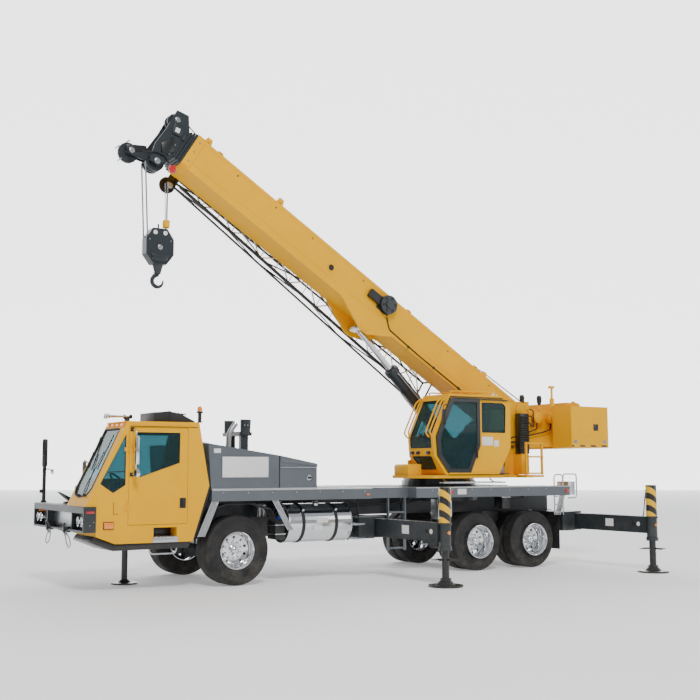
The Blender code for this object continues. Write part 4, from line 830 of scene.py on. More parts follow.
def wheel(name, x, outer_y, radius, width, body, m, dual):
    """A whole wheel: grooved tyre, forged disc with hand holes, hub, nuts and valve."""
    s = 1 if outer_y > 0 else -1
    y = outer_y - s * width / 2
    axis = Vector((0, 1, 0))
    centre = at(x, y, radius)
    section = tyre_section(radius, width)
    tyre = spun("tyre_" + name, section, centre, axis, m["tyre"], body, 72, 40)
    inward = centre - axis * s * DUAL_STEP
    if dual:
        spun("tyre_inner_" + name, section, inward, axis, m["tyre"], body, 48, 40)
    face = -0.055 if dual else 0.045
    disc = spun("wheel_" + name, wheel_disc(s, face), centre, axis, m["polished"], body, 60, 40)
    cutters = []
    for k in range(10):
        angle = 2 * PI * (k + 0.5) / 10
        spot = centre + Vector((math.cos(angle), 0, math.sin(angle))) * 0.203
        cutters.append(pin("hole", spot - axis * 0.3, spot + axis * 0.3, 0.024, m["polished"], None, 16))
    carved(disc, [joined("holes", cutters)])
    settle(disc, "wheel_" + name, m["polished"], body, 40)
    hub_len = 0.16 if dual else 0.10
    base = face + 0.004
    hub = [
        (base, 0), (base, 0.088), (base + 0.02, 0.086), (base + 0.03, 0.072),
        (base + hub_len - 0.03, 0.066), (base + hub_len - 0.012, 0.05), (base + hub_len, 0.022),
        (base + hub_len, 0)]
    spun("hub_" + name, [(s * a, r) for a, r in hub], centre, axis, m["chrome"], body, 40, 40)
    ring = Vector((0, 0, 0.1425))
    nut = bolts(
        "nuts_" + name, [centre + axis * s * base + ring], axis * s, 0.017, m["chrome"], body, 0.034)
    ring_of(nut, "nuts_" + name, 10, centre, axis)
    pin(
        "valve_" + name, centre + Vector((0.19, s * face, 0)),
        centre + Vector((0.215, s * (face + 0.06), 0)), 0.005, m["steel"], body, 10)
    if dual:
        back = [(-0.10, RIM_R - 0.012), (0.10, RIM_R - 0.012), (0.10, RIM_R - 0.03), (-0.10, RIM_R - 0.03)]
        spun("barrel_inner_" + name, back, inward, axis, m["polished"], body, 48, 40)
        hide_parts("tyres_" + name)
        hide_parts("rims_" + name)
    else:
        drum = [(s * a, r) for a, r in [(0.02, 0.05), (0.02, 0.20), (-0.13, 0.20), (-0.13, 0.05)]]
        spun("drum_" + name, drum, centre, axis, m["steel"], body, 40, 40)
        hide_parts("tyre_" + name)
        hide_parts("rim_" + name)


def wheels(m):
    for side, s in (("left", 1), ("right", -1)):
        wheel("front_" + side, 0.0, s * FRONT_OUT, FRONT_R, FRONT_W, "front_wheel_" + side, m, False)
        for place, x in zip(("mid", "rear"), AXLES):
            wheel(
                place + "_" + side, x, s * REAR_OUT, REAR_R, REAR_W, "twin_wheel_%s_%s" % (place, side), m,
                True)


# ---------------------------------------------------------------- stage


def camera():
    """Low three-quarter view from the front left."""
    data = bpy.data.cameras.new("camera")
    data.lens = 55.98
    data.sensor_width = 36
    data.shift_x = 0.0257
    data.shift_y = -0.0036
    data.clip_end = 300
    cam = bpy.data.objects.new("camera", data)
    bpy.context.scene.collection.objects.link(cam)
    cam.location = at(7.876, 17.230, 1.889)
    yaw, pitch = math.radians(-121.113), math.radians(6.286)
    forward = Vector((math.cos(yaw) * math.cos(pitch), math.sin(yaw) * math.cos(pitch), math.sin(pitch)))
    cam.rotation_mode = "QUATERNION"
    cam.rotation_quaternion = forward.to_track_quat("-Z", "Y")
    bpy.context.scene.camera = cam


def area_light(name, place, target, size, power):
    data = bpy.data.lights.new(name, "AREA")
    data.shape = "DISK"
    data.size = size
    data.energy = power
    light = bpy.data.objects.new(name, data)
    bpy.context.scene.collection.objects.link(light)
    light.location = place
    light.rotation_mode = "QUATERNION"
    light.rotation_quaternion = (Vector(target) - Vector(place)).to_track_quat("-Z", "Y")


def backdrop():
    """A tall bright wall far behind the crane."""
    deselect()
    bpy.ops.mesh.primitive_plane_add(size=1, location=(-36, -62, 20))
    wall = bpy.context.object
    wall.name = "studio_wall"
    wall.scale = (260, 90, 1)
    wall.rotation_euler = (math.pi / 2, 0, math.radians(-31))
    mat, s, shader = start_material("studio_wall", (0.9, 0.9, 0.9), 0.9, 0.0)
    place = s.add("ShaderNodeTexCoord").outputs["Object"]
    s.wire(
        s.mix(s.noise(place, 2.0, 2.0), (0.97, 0.98, 1.0, 1), (1.0, 1.0, 1.0, 1)),
        shader.inputs["Emission Color"])
    shader.inputs["Emission Strength"].default_value = 2.5
    wall.data.materials.append(mat)


def studio():
    """Pale floor, bright wall and soft light."""
    deselect()
    bpy.ops.mesh.primitive_plane_add(size=260, location=(0, 0, -0.002))
    floor = bpy.context.object
    floor.name = "studio_floor"
    mat, s, shader = start_material("studio_floor", (0.9, 0.9, 0.9), 0.8, 0.0)
    place = s.add("ShaderNodeTexCoord").outputs["Object"]
    s.wire(
        s.mix(s.ramp(s.noise(place, 0.6, 3.0), 0.3, 0.7), (0.93, 0.93, 0.93, 1), (0.96, 0.96, 0.96, 1)),
        shader.inputs["Base Color"])
    shader.inputs["Emission Color"].default_value = (1.0, 1.0, 1.0, 1)
    shader.inputs["Emission Strength"].default_value = 0.24
    floor.data.materials.append(mat)
    backdrop()
    world = bpy.data.worlds.new("studio")
    world.use_nodes = True
    world.node_tree.nodes["Background"].inputs[0].default_value = (0.93, 0.96, 1.0, 1)
    world.node_tree.nodes["Background"].inputs[1].default_value = 0.45
    bpy.context.scene.world = world
    area_light("key", (9, 19, 20), (0, 0, 2.5), 6, 4000)
    area_light("fill", (-14, 16, 8), (-2, 0, 3), 10, 500)
    area_light("rear", (-6, -16, 12), (0, 0, 3), 10, 700)


# ---------------------------------------------------------------- carrier cab


def front_line(z):
    """How far forward the slanted front of the cab stands at a height."""
    return 1.90 + (2.60 - z) * 0.504


def pane(name, points, inward, mat, body, m, rim=0.011):
    """A pane of glass a little inside an opening, in a rubber gasket that follows the opening."""
    inward = Vector(inward)
    sheet_metal(name, [Vector(p) + inward for p in points], inward.normalized() * 0.006, mat, body, 0, 1)
    tube(name + "_gasket", [Vector(p) + inward * 0.7 for p in points], rim, m["rubber"], body, 0.03, True)


def cab_glass(m):
    """Windscreen, side windows and the window in the door."""
    body = "carrier"
    inward = Vector((-0.893, 0, -0.45)) * 0.016
    screen = [
        (1.077, 2.49), (0.41, 2.49), (0.42, 1.56), (0.52, 1.47), (0.77, 1.44), (1.05, 1.47), (1.142, 1.56)]
    pane("windscreen", [at(front_line(z), y, z) for y, z in screen], inward, m["glass"], body, m, 0.016)
    side_in = (0, -0.016, 0)
    quarter = [(1.925, 2.40), (2.326, 1.64), (2.119, 1.50), (1.925, 1.62)]
    pane("quarter_window", [at(x, CAB_OUT, z) for x, z in quarter], side_in, m["glass"], body, m)
    door = [(1.766, 2.43), (1.032, 2.43), (1.037, 1.959), (1.742, 1.722)]
    pane("door_window", [at(x, CAB_OUT, z) for x, z in door], side_in, m["glass"], "cab_door", m)
    far = [(1.80, 2.42), (2.25, 1.70), (1.0, 1.70), (0.86, 2.42)]
    pane("far_window", [at(x, CAB_IN, z) for x, z in far], (0, 0.016, 0), m["glass"], body, m)
    rear = [(0.675, 0.50, 2.42), (0.675, 1.13, 2.42), (0.565, 1.13, 1.82), (0.565, 0.50, 1.82)]
    pane("cab_rear_window", [at(*p) for p in rear], (0.016, 0, -0.003), m["glass"], body, m)
    tube(
        "quarter_bar", [at(2.235, CAB_OUT - 0.02, 1.815), at(1.925, CAB_OUT - 0.02, 1.83)], 0.008,
        m["rubber"], body, 0)
    tube(
        "screen_bar", [at(front_line(2.0) - 0.06, 0.42, 2.0), at(front_line(2.0) - 0.06, 1.10, 2.0)], 0.012,
        m["rubber"], body, 0)


def wipers(m):
    """Two long wipers parked up the windscreen."""
    for k, (y0, y1) in enumerate(((0.75, 0.48), (1.03, 0.98))):
        out = Vector((0.893, 0, 0.45))
        foot = at(front_line(1.46), y0, 1.46) + out * 0.035
        tip = at(front_line(2.12), y1, 2.12) + out * 0.03
        spun(
            "wiper_hub_%d" % k, rod_profile(0.05, 0.02), foot - out * 0.05, out, m["plastic"], "carrier",
            16)
        tube(
            "wiper_arm_%d" % k, [foot, foot.lerp(tip, 0.2) + out * 0.02, tip], 0.007, m["plastic"],
            "carrier", 0.1)
        down = (foot - tip).normalized()
        sheet_metal(
            "wiper_blade_%d" % k,
            [
                tip - down * 0.3 - out * 0.012, tip + down * 0.3 - out * 0.012,
                tip + down * 0.3 - out * 0.03, tip - down * 0.3 - out * 0.03],
            (0, 0.008, 0), m["rubber"], "carrier", 0.002)


def cab_roof(m):
    """Header lamps, gutter, horns, cooler and beacon."""
    body = "carrier"
    for k in range(4):
        y = 0.46 + 0.21 * k
        block(
            "header_lamp_%d" % k, at(1.915, y, 2.525), at(1.955, y + 0.10, 2.565), m["amber"], body, 0.008)
    block("header_strip", at(1.84, 0.38, 2.575), at(1.925, 1.25, 2.60), m["yellow"], body, 0.01)
    block("gutter", at(0.74, CAB_OUT, 2.525), at(1.86, CAB_OUT + 0.018, 2.537), m["yellow"], body, 0.004)
    block(
        "gutter_seal", at(0.74, CAB_OUT, 2.516), at(1.86, CAB_OUT + 0.008, 2.525), m["rubber"], body, 0.002)
    for k, y in enumerate((0.56, 0.68)):
        bell = [
            (0, 0.046), (0.01, 0.046), (0.03, 0.032), (0.07, 0.02), (0.30 + 0.06 * k, 0.012),
            (0.31 + 0.06 * k, 0)]
        spun("horn_%d" % k, bell + [(0.02, 0)], at(2.03, y, 2.695), (-1, 0, 0), m["chrome"], body, 28)
        block(
            "horn_foot_%d" % k, at(1.66, y - 0.015, 2.60), at(1.70, y + 0.015, 2.69), m["plastic"], body,
            0.006)
        spun(
            "horn_drive_%d" % k, rod_profile(0.04, 0.035, 0.008), at(1.72 - 0.06 * k, y, 2.695), (-1, 0, 0),
            m["plastic"], body, 24)
    cooler = [(1.40, 2.602), (1.40, 2.755), (1.13, 2.775), (0.92, 2.73), (0.70, 2.625), (0.70, 2.602)]
    side_plate("roof_cooler", cooler, 0.46, 1.08, m["plastic"], body, 0.022, 3)
    for k in range(5):
        x = 1.06 - 0.06 * k
        top = 2.768 - 0.10 * (1.13 - x)
        block(
            "cooler_slot_%d" % k, at(x, 0.54, top - 0.006), at(x + 0.024, 1.0, top + 0.012), m["rubber"],
            body, 0.004)
    block("cooler_seam", at(1.128, 0.455, 2.61), at(1.138, 1.085, 2.782), m["rubber"], body, 0.002)
    base = at(0.63, 1.10, 2.605)
    spun(
        "beacon_post",
        [
            (0, 0), (0, 0.045), (0.012, 0.045), (0.016, 0.03), (0.15, 0.03), (0.155, 0.052), (0.18, 0.052),
            (0.184, 0)],
        base, (0, 0, 1), m["plastic"], body, 28)
    spun(
        "beacon_lens",
        [(0.184, 0), (0.184, 0.043), (0.215, 0.043), (0.245, 0.036), (0.262, 0.018), (0.265, 0)], base,
        (0, 0, 1), m["amber"], body, 32)


def cab_mirrors(m):
    """Chromed west-coast mirror and round mirror on the door."""
    body = "cab_door"
    y = CAB_OUT + 0.13
    x = 1.83
    tube(
        "mirror_frame",
        [
            at(x, CAB_OUT + 0.01, 2.47), at(x - 0.02, y, 2.45), at(x - 0.02, y, 1.80),
            at(x, CAB_OUT + 0.01, 1.78)],
        0.011, m["chrome"], body, 0.05)
    block(
        "mirror_shell", at(x - 0.035, y - 0.075, 1.93), at(x + 0.015, y + 0.095, 2.37), m["chrome"], body,
        0.018, 3)
    block(
        "mirror_face", at(x - 0.039, y - 0.062, 1.945), at(x - 0.034, y + 0.082, 2.355), m["chrome"], body,
        0.002)
    dish = [(0, 0.075), (0.012, 0.078), (0.045, 0.05), (0.055, 0), (0.004, 0)]
    spun("round_mirror", dish, at(x - 0.04, y + 0.02, 1.80), (1, 0.2, 0), m["chrome"], body, 32)
    for z in (2.47, 1.78):
        block(
            "mirror_foot_%d" % int(z * 10), at(x - 0.03, CAB_OUT - 0.002, z - 0.03),
            at(x + 0.03, CAB_OUT + 0.014, z + 0.03), m["rubber"], body, 0.004)
    arm = [
        at(front_line(1.95) - 0.03, 0.38, 1.95), at(front_line(1.95) + 0.02, 0.27, 2.0),
        at(2.24, 0.24, 1.98)]
    tube("far_mirror_arm", arm, 0.009, m["plastic"], "carrier", 0.04)
    block("far_mirror", at(2.22, 0.18, 1.72), at(2.25, 0.30, 1.98), m["plastic"], "carrier", 0.01)


def cab_sides(m):
    """Seams, handle, side lamp, step and dark skirt on the cab's left side."""
    out = CAB_OUT
    block(
        "door_handle_pocket", at(0.925, out - 0.001, 1.255), at(1.03, out + 0.003, 1.415), m["rubber"],
        "cab_door", 0.001)
    block(
        "door_handle", at(0.955, out + 0.002, 1.275), at(0.985, out + 0.024, 1.40), m["plastic"],
        "cab_door", 0.008)
    block(
        "corner_seam", at(2.10, out - 0.0005, 1.18), at(2.108, out + 0.0015, 1.36), m["rubber"], "carrier",
        0)
    block(
        "corner_seam_foot", at(2.03, out - 0.0005, 1.18), at(2.10, out + 0.0015, 1.187), m["rubber"],
        "carrier", 0)
    block(
        "side_lamp_base", at(2.095, out - 0.001, 0.955), at(2.265, out + 0.006, 1.07), m["rubber"],
        "carrier", 0.003)
    block(
        "side_lamp", at(2.105, out + 0.004, 0.965), at(2.255, out + 0.03, 1.06), m["amber"], "carrier",
        0.012, 3)
    skirt = [(2.39, 0.852), (2.07, 0.735), (0.80, 0.742), (0.86, 0.64), (2.09, 0.63), (2.44, 0.77)]
    side_plate("cab_skirt", skirt, 0.36, out - 0.03, m["black"], "carrier", 0.01)
    # Painted shade: a dark rubber strip fills the gap behind the cab and stands in for the shade in that
    # gap.
    gap = [(0.786, 0.78), (0.515, 1.60), (0.575, 1.97), (0.548, 1.97), (0.470, 1.60), (0.752, 0.78)]
    side_plate("cab_rear_gap_shade", gap, 0.42, out - 0.01, m["rubber"], "carrier", 0.006)
    block("step_well_back", at(1.08, 1.052, 0.825), at(1.446, 1.062, 0.96), m["black"], "carrier", 0.002)
    block("step_tread", at(1.07, 1.06, 0.80), at(1.456, out + 0.03, 0.822), m["alu"], "carrier", 0.004)
    for k in range(6):
        x = 1.095 + 0.06 * k
        block(
            "step_cleat_%d" % k, at(x, 1.08, 0.822), at(x + 0.02, out + 0.02, 0.832), m["alu"], "carrier",
            0.003)
    block(
        "step_lip", at(1.055, out - 0.004, 0.735), at(1.47, out + 0.012, 0.80), m["alu"], "carrier", 0.004)
    hoop = [at(1.03, 1.20, 0.76), at(1.05, 1.20, 0.56), at(1.49, 1.20, 0.56), at(1.51, 1.20, 0.76)]
    tube("step_hoop", hoop, 0.014, m["alu"], "carrier", 0.07)


def padded_block(name, lo, hi, mat, body, crown=0.02, grooves=()):
    """A crowned cushion with sewn channels across it."""
    lo, hi = Vector(lo), Vector(hi)
    deselect()
    size = Vector((abs(hi.x - lo.x), abs(hi.y - lo.y), abs(hi.z - lo.z)))
    bpy.ops.mesh.primitive_cube_add(size=1, location=(lo + hi) / 2, scale=size)
    obj = bpy.context.object
    bpy.ops.object.transform_apply(location=True, rotation=True, scale=True)
    edit(obj)
    bpy.ops.mesh.subdivide(number_cuts=9)
    leave_edit()
    centre = (lo + hi) / 2
    for vert in obj.data.vertices:
        rel = [(vert.co[i] - centre[i]) / (size[i] / 2) for i in range(3)]
        for i in range(3):
            j, k = (i + 1) % 3, (i + 2) % 3
            fall = (1 - rel[j] ** 2) * (1 - rel[k] ** 2)
            vert.co[i] -= rel[i] * crown * (1 - fall)
        for place in grooves:
            if abs(rel[1] - place) < 0.06:
                vert.co += (centre - vert.co).normalized() * crown * 0.7
    mod = obj.modifiers.new("soft", "SUBSURF")
    mod.levels = mod.render_levels = 1
    bpy.ops.object.modifier_apply(modifier=mod.name)
    settle(obj, name, mat, body, 60)
    return obj


def seat(name, x, y, floor, body, m):
    """A sprung operator's seat: base, bellows, cushion, backrest, headrest and belt."""
    block(
        name + "_base", at(x - 0.15, y - 0.16, floor + 0.001), at(x + 0.15, y + 0.16, floor + 0.06),
        m["plastic"], body, 0.012)
    for k in range(4):
        grow = 0.012 * (k % 2)
        block(
            name + "_bellows_%d" % k, at(x - 0.13 - grow, y - 0.14 - grow, floor + 0.06 + 0.05 * k),
            at(x + 0.13 + grow, y + 0.14 + grow, floor + 0.11 + 0.05 * k), m["rubber"], body, 0.015)
    cushion = padded_block(
        name + "_cushion", at(x - 0.235, y - 0.235, floor + 0.26), at(x + 0.235, y + 0.235, floor + 0.395),
        m["cloth"], body, 0.02, (-0.5, 0.5))
    back = padded_block(
        name + "_backrest", at(x - 0.05, y - 0.225, 0), at(x + 0.05, y + 0.225, 0.52), m["cloth"], body,
        0.018, (-0.5, 0.5))
    lean = Matrix.Translation(
        at(x - 0.15, y, floor + 0.40)) @ Matrix.Rotation(-0.19, 4, "Y") @ Matrix.Translation(-at(x, y, 0))
    back.data.transform(lean)
    padded_block(
        name + "_headrest", at(x - 0.30, y - 0.13, floor + 0.84), at(x - 0.225, y + 0.13, floor + 0.965),
        m["cloth"], body, 0.016)
    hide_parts(name)
    tube(
        name + "_belt",
        [
            at(x - 0.22, y + 0.24, floor + 0.30), at(x - 0.18, y + 0.245, floor + 0.42),
            at(x - 0.2, y + 0.235, floor + 0.72)],
        0.008, m["rubber"], body, 0.05)


def cab_inside(m):
    """Instruments and controls that show through the glass."""
    block("dash_hood", at(1.98, 0.44, 1.50), at(2.12, 1.19, 1.56), m["plastic"], "carrier", 0.02)
    for k in range(3):
        spun(
            "dial_%d" % k, [(0, 0.045), (0.008, 0.045), (0.01, 0.036), (0.004, 0.034), (0.004, 0), (0, 0)],
            at(2.028, 0.66 + 0.12 * k, 1.42), (-1, 0, 0.25), m["chrome"], "carrier", 28)
    block("overhead_shelf", at(0.95, 0.43, 2.44), at(1.50, 1.19, 2.52), m["trim"], "carrier", 0.02)
    tube(
        "gear_lever", [at(1.72, 0.62, 0.99), at(1.74, 0.62, 1.25), at(1.70, 0.62, 1.32)], 0.012,
        m["plastic"], "carrier", 0.05)
    spun(
        "gear_knob", [(0, 0), (0.005, 0.02), (0.03, 0.026), (0.05, 0.018), (0.055, 0)],
        at(1.70, 0.62, 1.31), (0, 0, 1), m["plastic"], "carrier", 20)


def carrier_cab(m):
    cab_glass(m)
    wipers(m)
    cab_roof(m)
    cab_mirrors(m)
    cab_sides(m)
    cab_inside(m)
    seat("driver_seat", 1.28, 0.80, 0.98, "carrier", m)


# ---------------------------------------------------------------- bumper


def head_lamp(name, y, z, m):
    """A round lamp: bezel, bowl and glass."""
    face = at(BUMPER_X - 0.05, y, z)
    spun(
        name + "_bezel", [(0, 0.062), (0.02, 0.072), (0.028, 0.07), (0.024, 0.06), (0.005, 0.058)], face,
        (1, 0, 0), m["chrome"], "carrier", 36)
    spun(
        name + "_bowl",
        [
            (0.0, 0.059), (-0.03, 0.045), (-0.06, 0.015), (-0.06, 0), (-0.064, 0), (-0.064, 0.02),
            (-0.034, 0.05), (-0.003, 0.062)],
        face + Vector((0.012, 0, 0)), (1, 0, 0), m["chrome"], "carrier", 36)
    spun(
        name + "_glass", [(0.012, 0), (0.012, 0.058), (0.016, 0.058), (0.024, 0.03), (0.026, 0)], face,
        (1, 0, 0), m["clear"], "carrier", 36)


def marker_pole(m):
    """Marker pole, its mirror and mounts at the right end of the bumper."""
    body = "carrier"
    foot = at(2.45, -1.20, 1.30)
    tube("marker_pole", [foot, foot + Vector((0, 0, 0.62))], 0.032, m["black"], body, 0)
    spun(
        "marker_head", [(0, 0), (0, 0.035), (0.02, 0.045), (0.44, 0.045), (0.465, 0.035), (0.475, 0)],
        foot + Vector((0, 0, 0.60)), (0, 0, 1), m["black"], body, 28)
    spun(
        "pole_collar", [(0, 0), (0, 0.05), (0.03, 0.05), (0.04, 0.036), (0.04, 0)], foot, (0, 0, 1),
        m["black"], body, 28)
    block(
        "pole_switch", foot + Vector((0.03, -0.02, 0.16)), foot + Vector((0.075, 0.02, 0.22)), m["plastic"],
        body, 0.008)
    tube(
        "pole_mirror_arm",
        [
            foot + Vector((0, 0, 0.56)), foot + Vector((-0.09, 0.03, 0.56)),
            foot + Vector((-0.12, 0.04, 0.50))],
        0.009, m["black"], body, 0.03)
    spun(
        "pole_mirror", [(0, 0), (0, 0.045), (0.01, 0.048), (0.045, 0.03), (0.055, 0)],
        foot + Vector((-0.14, 0.05, 0.52)), (1, -0.2, -0.1), m["chrome"], body, 28)


def bumper(m):
    """Lamp panel in the recess, tow gear, marker pole, rain edge and step plates."""
    body = "carrier"
    back = BUMPER_X - 0.158
    block("lamp_panel", at(back, -1.25, 0.95), at(back + 0.012, 1.25, 1.195), m["alu"], body, 0.003)
    for s in (-1, 1):
        head_lamp("head_lamp_outer_%d" % s, s * 1.14, 1.075, m)
        head_lamp("head_lamp_inner_%d" % s, s * 0.965, 1.075, m)
        block(
            "turn_lamp_%d" % s, at(back + 0.01, s * 1.20, 1.155), at(back + 0.09, s * 1.25, 1.19),
            m["amber"], body, 0.008)
        block(
            "fog_lamp_shell_%d" % s, at(back, s * 0.72, 1.03), at(back + 0.07, s * 0.86, 1.12), m["chrome"],
            body, 0.014)
        block(
            "fog_lamp_%d" % s, at(back + 0.068, s * 0.73, 1.038), at(back + 0.078, s * 0.85, 1.112),
            m["clear"], body, 0.004)
        eye = at(BUMPER_X + 0.0, s * 0.44, 0.90)
        bow = [eye + Vector((0, s * 0.035 * k, d)) for k, d in ((-1, 0), (-1, -0.06), (1, -0.06), (1, 0))]
        tube("shackle_%d" % s, bow, 0.013, m["steel"], body, 0.05)
        pin(
            "shackle_pin_%d" % s, eye + Vector((0, -0.06, 0)), eye + Vector((0, 0.06, 0)), 0.012,
            m["steel"], body, 16)
        loop = [
            eye + Vector((-0.02, s * a, d))
            for a, d in (
                (0.0, -0.02), (0.16, -0.10), (0.22, -0.20), (0.12, -0.25), (0.0, -0.17), (-0.06, -0.05))]
        tube("tow_loop_%d" % s, loop, 0.008, m["rope"], body, 0.09, True)
        tube(
            "tow_cleat_%d" % s,
            [
                at(BUMPER_X + 0.012, s * 0.52, 0.94), at(BUMPER_X + 0.03, s * 0.48, 1.03),
                at(BUMPER_X + 0.03, s * 0.40, 1.03), at(BUMPER_X + 0.012, s * 0.36, 0.94)],
            0.012, m["black"], body, 0.03)
    block(
        "bumper_lip", at(BUMPER_X - 0.19, -1.29, 1.288), at(BUMPER_X + 0.004, 1.29, 1.30), m["charcoal"],
        body, 0.004)
    block(
        "bumper_tread", at(BUMPER_X - 0.185, -1.27, 1.30), at(BUMPER_X - 0.02, 0.30, 1.304), m["deck"],
        body, 0.001)
    block(
        "side_reflector", at(BUMPER_X - 0.17, 1.294, 1.20), at(BUMPER_X - 0.04, 1.301, 1.235), m["red"],
        body, 0.003)
    block(
        "far_reflector", at(BUMPER_X - 0.17, -1.301, 1.20), at(BUMPER_X - 0.04, -1.294, 1.235), m["red"],
        body, 0.003)
    bolts(
        "bumper_bolts", [at(BUMPER_X - 0.10 - 0.06 * k, 1.295, 1.02 + 0.05 * k) for k in range(2)],
        (0, 1, 0), 0.009, m["steel"], body)
    marker_pole(m)


def front_frame(m):
    """What shows ahead of the frame on the right: tread cover, wedge and battery box lid."""
    body = "carrier"
    side_plate(
        "wedge_chock", [(2.52, 1.50), (2.28, 1.305), (2.24, 1.305), (2.24, 1.36)], -0.28, -0.08,
        m["charcoal"], body, 0.006)
    side_plate(
        "tool_case", [(2.30, 1.305), (2.30, 1.58), (2.26, 1.62), (1.95, 1.62), (1.92, 1.58), (1.92, 1.305)],
        -0.05, 0.30, m["black"], body, 0.03, 3)
    block("cowl_tread", at(0.70, -CAB_OUT + 0.03, 1.281), at(2.34, -0.44, 1.286), m["deck"], body, 0.001)
    rail = [at(0.80, -1.20, 1.285), at(0.80, -1.20, 1.62), at(1.70, -1.20, 1.62), at(1.70, -1.20, 1.285)]
    tube("cowl_rail", rail, 0.016, m["black"], body, 0.08)


# ---------------------------------------------------------------- hood


def hood_line(x):
    """Height of the hood's lid at a lengthwise place."""
    if x > -0.742:
        return 2.273 + (0.545 - x) / 1.287 * (2.088 - 2.273)
    return 2.088 + (-0.742 - x) / 0.718 * (1.954 - 2.088)


def exhaust(m):
    """Exhaust stack with its mouth and flange, and the rail on the box lid."""
    body = "carrier"
    stack = [
        at(-0.16, 0.52, hood_line(-0.16) - 0.01), at(-0.17, 0.52, 2.45), at(-0.24, 0.52, 2.56),
        at(-0.30, 0.52, 2.63)]
    tube("exhaust_stack", stack, 0.045, m["steel"], body, 0.12)
    spun(
        "exhaust_mouth", [(0, 0.036), (0, 0.047), (0.02, 0.047), (0.02, 0.036)],
        stack[-1] - Vector((-0.012, 0, 0.012)), (-0.6, 0, 0.8), m["chrome"], body, 32)
    spun(
        "stack_flange", [(0, 0), (0, 0.085), (0.012, 0.085), (0.016, 0.05), (0.016, 0)],
        at(-0.16, 0.52, hood_line(-0.16) - 0.006), (0, 0, 1), m["steel"], body, 32)
    tube(
        "lid_rail",
        [
            at(0.42, 0.40, hood_line(0.42)), at(0.42, 0.40, hood_line(0.42) + 0.07),
            at(0.10, 0.40, hood_line(0.10) + 0.07), at(0.10, 0.40, hood_line(0.10))],
        0.012, m["alu"], body, 0.04)


def hood(m):
    """Blank name plate, seams, trims, latches and louvres of the engine hood."""
    body = "carrier"
    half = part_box("engine_hood")[1].y
    block("plate_frame", at(-0.545, half, 1.715), at(0.315, half + 0.006, 2.075), m["grey"], body, 0.002)
    block(
        "blank_plate", at(-0.53, half + 0.004, 1.73), at(0.30, half + 0.012, 2.06), m["white"], body, 0.003)
    bolts(
        "plate_screws", [at(x, half + 0.012, z) for x in (-0.50, -0.115, 0.27) for z in (1.755, 2.035)],
        (0, 1, 0), 0.008, m["steel"], body)
    for s in (1, -1):
        y = s * half
        block(
            "hood_seam_%d" % s, at(-0.752, y, 1.545), at(-0.732, y + s * 0.003, 2.075), m["rubber"], body,
            0)
        side_plate(
            "box_lid_%d" % s, [(-0.76, 2.075), (-1.465, 1.945), (-1.465, 1.905), (-0.76, 1.985)], y,
            y + s * 0.012, m["grey"], body, 0.003)
        block("lid_drip_%d" % s, at(-1.46, y, 1.885), at(-0.76, y + s * 0.02, 1.895), m["alu"], body, 0.002)
        spun(
            "latch_cup_%d" % s,
            [(0, 0.052), (0.006, 0.055), (0.012, 0.05), (0.004, 0.044), (0.004, 0), (0, 0)],
            at(-1.32, y, 1.72), (0, s, 0), m["chrome"], body, 32)
        block(
            "latch_paddle_%d" % s, at(-1.355, y, 1.70), at(-1.285, y + s * 0.016, 1.735), m["plastic"],
            body, 0.005)
        block("hood_tag_%d" % s, at(0.33, y, 2.12), at(0.45, y + s * 0.004, 2.19), m["white"], body, 0.001)
        block(
            "hood_foot_trim_%d" % s, at(-1.46, y, 1.535), at(0.48, y + s * 0.016, 1.552), m["alu"], body,
            0.003)
        for k in range(8):
            z = 1.60 + 0.04 * k
            block(
                "side_louvre_%d_%d" % (s, k), at(-0.70, y, z - 0.006), at(-0.58, y + s * 0.006, z),
                m["grey"], body, 0.002)
    for k in range(7):
        x = 0.30 - 0.11 * k
        top = hood_line(x)
        side_plate(
            "lid_louvre_%d" % k,
            [(x, top + 0.001), (x + 0.07, top - 0.009), (x + 0.07, top + 0.004), (x, top + 0.016)], -0.36,
            0.10, m["black"], body, 0.003)
    exhaust(m)


def boom_cradle(m):
    """Rubber pad, side horns with bolts and gusset braces on the boom rest."""
    lo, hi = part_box("boom_rest")
    body = "carrier"
    saddle = 3.05 + BOOM_BELLY - 0.012
    x = (lo.x + hi.x) / 2
    for s in (1, -1):
        y = s * (BOOM_HALF + 0.045)
        horn = [
            Vector((x + 0.075, y, saddle - 0.05)), Vector((x - 0.075, y, saddle - 0.05)),
            Vector((x - 0.10, y, saddle + 0.215)), Vector((x + 0.06, y, saddle + 0.215))]
        sheet_metal("rest_horn_%d" % s, horn, (0, s * 0.012, 0), m["charcoal"], body, 0.005)
        bolts(
            "rest_bolts_%d" % s,
            [Vector((x + 0.03 - 0.06 * k, y + s * 0.012, saddle + 0.12)) for k in range(2)], (0, s, 0),
            0.014, m["steel"], body)
        brace = [
            Vector((x - 0.06, s * 0.27, 2.16)), Vector((x + 0.05, s * 0.27, 2.16)),
            Vector((x + 0.02, s * 0.15, saddle - 0.06)), Vector((x - 0.03, s * 0.15, saddle - 0.06))]
        sheet_metal("rest_brace_%d" % s, brace, (0, -s * 0.02, 0), m["charcoal"], body, 0.004)
    block(
        "rest_pad", (lo.x + 0.02, -0.26, saddle - 0.002), (hi.x - 0.02, 0.26, saddle + 0.009), m["rubber"],
        body, 0.003)


# ---------------------------------------------------------------- deck


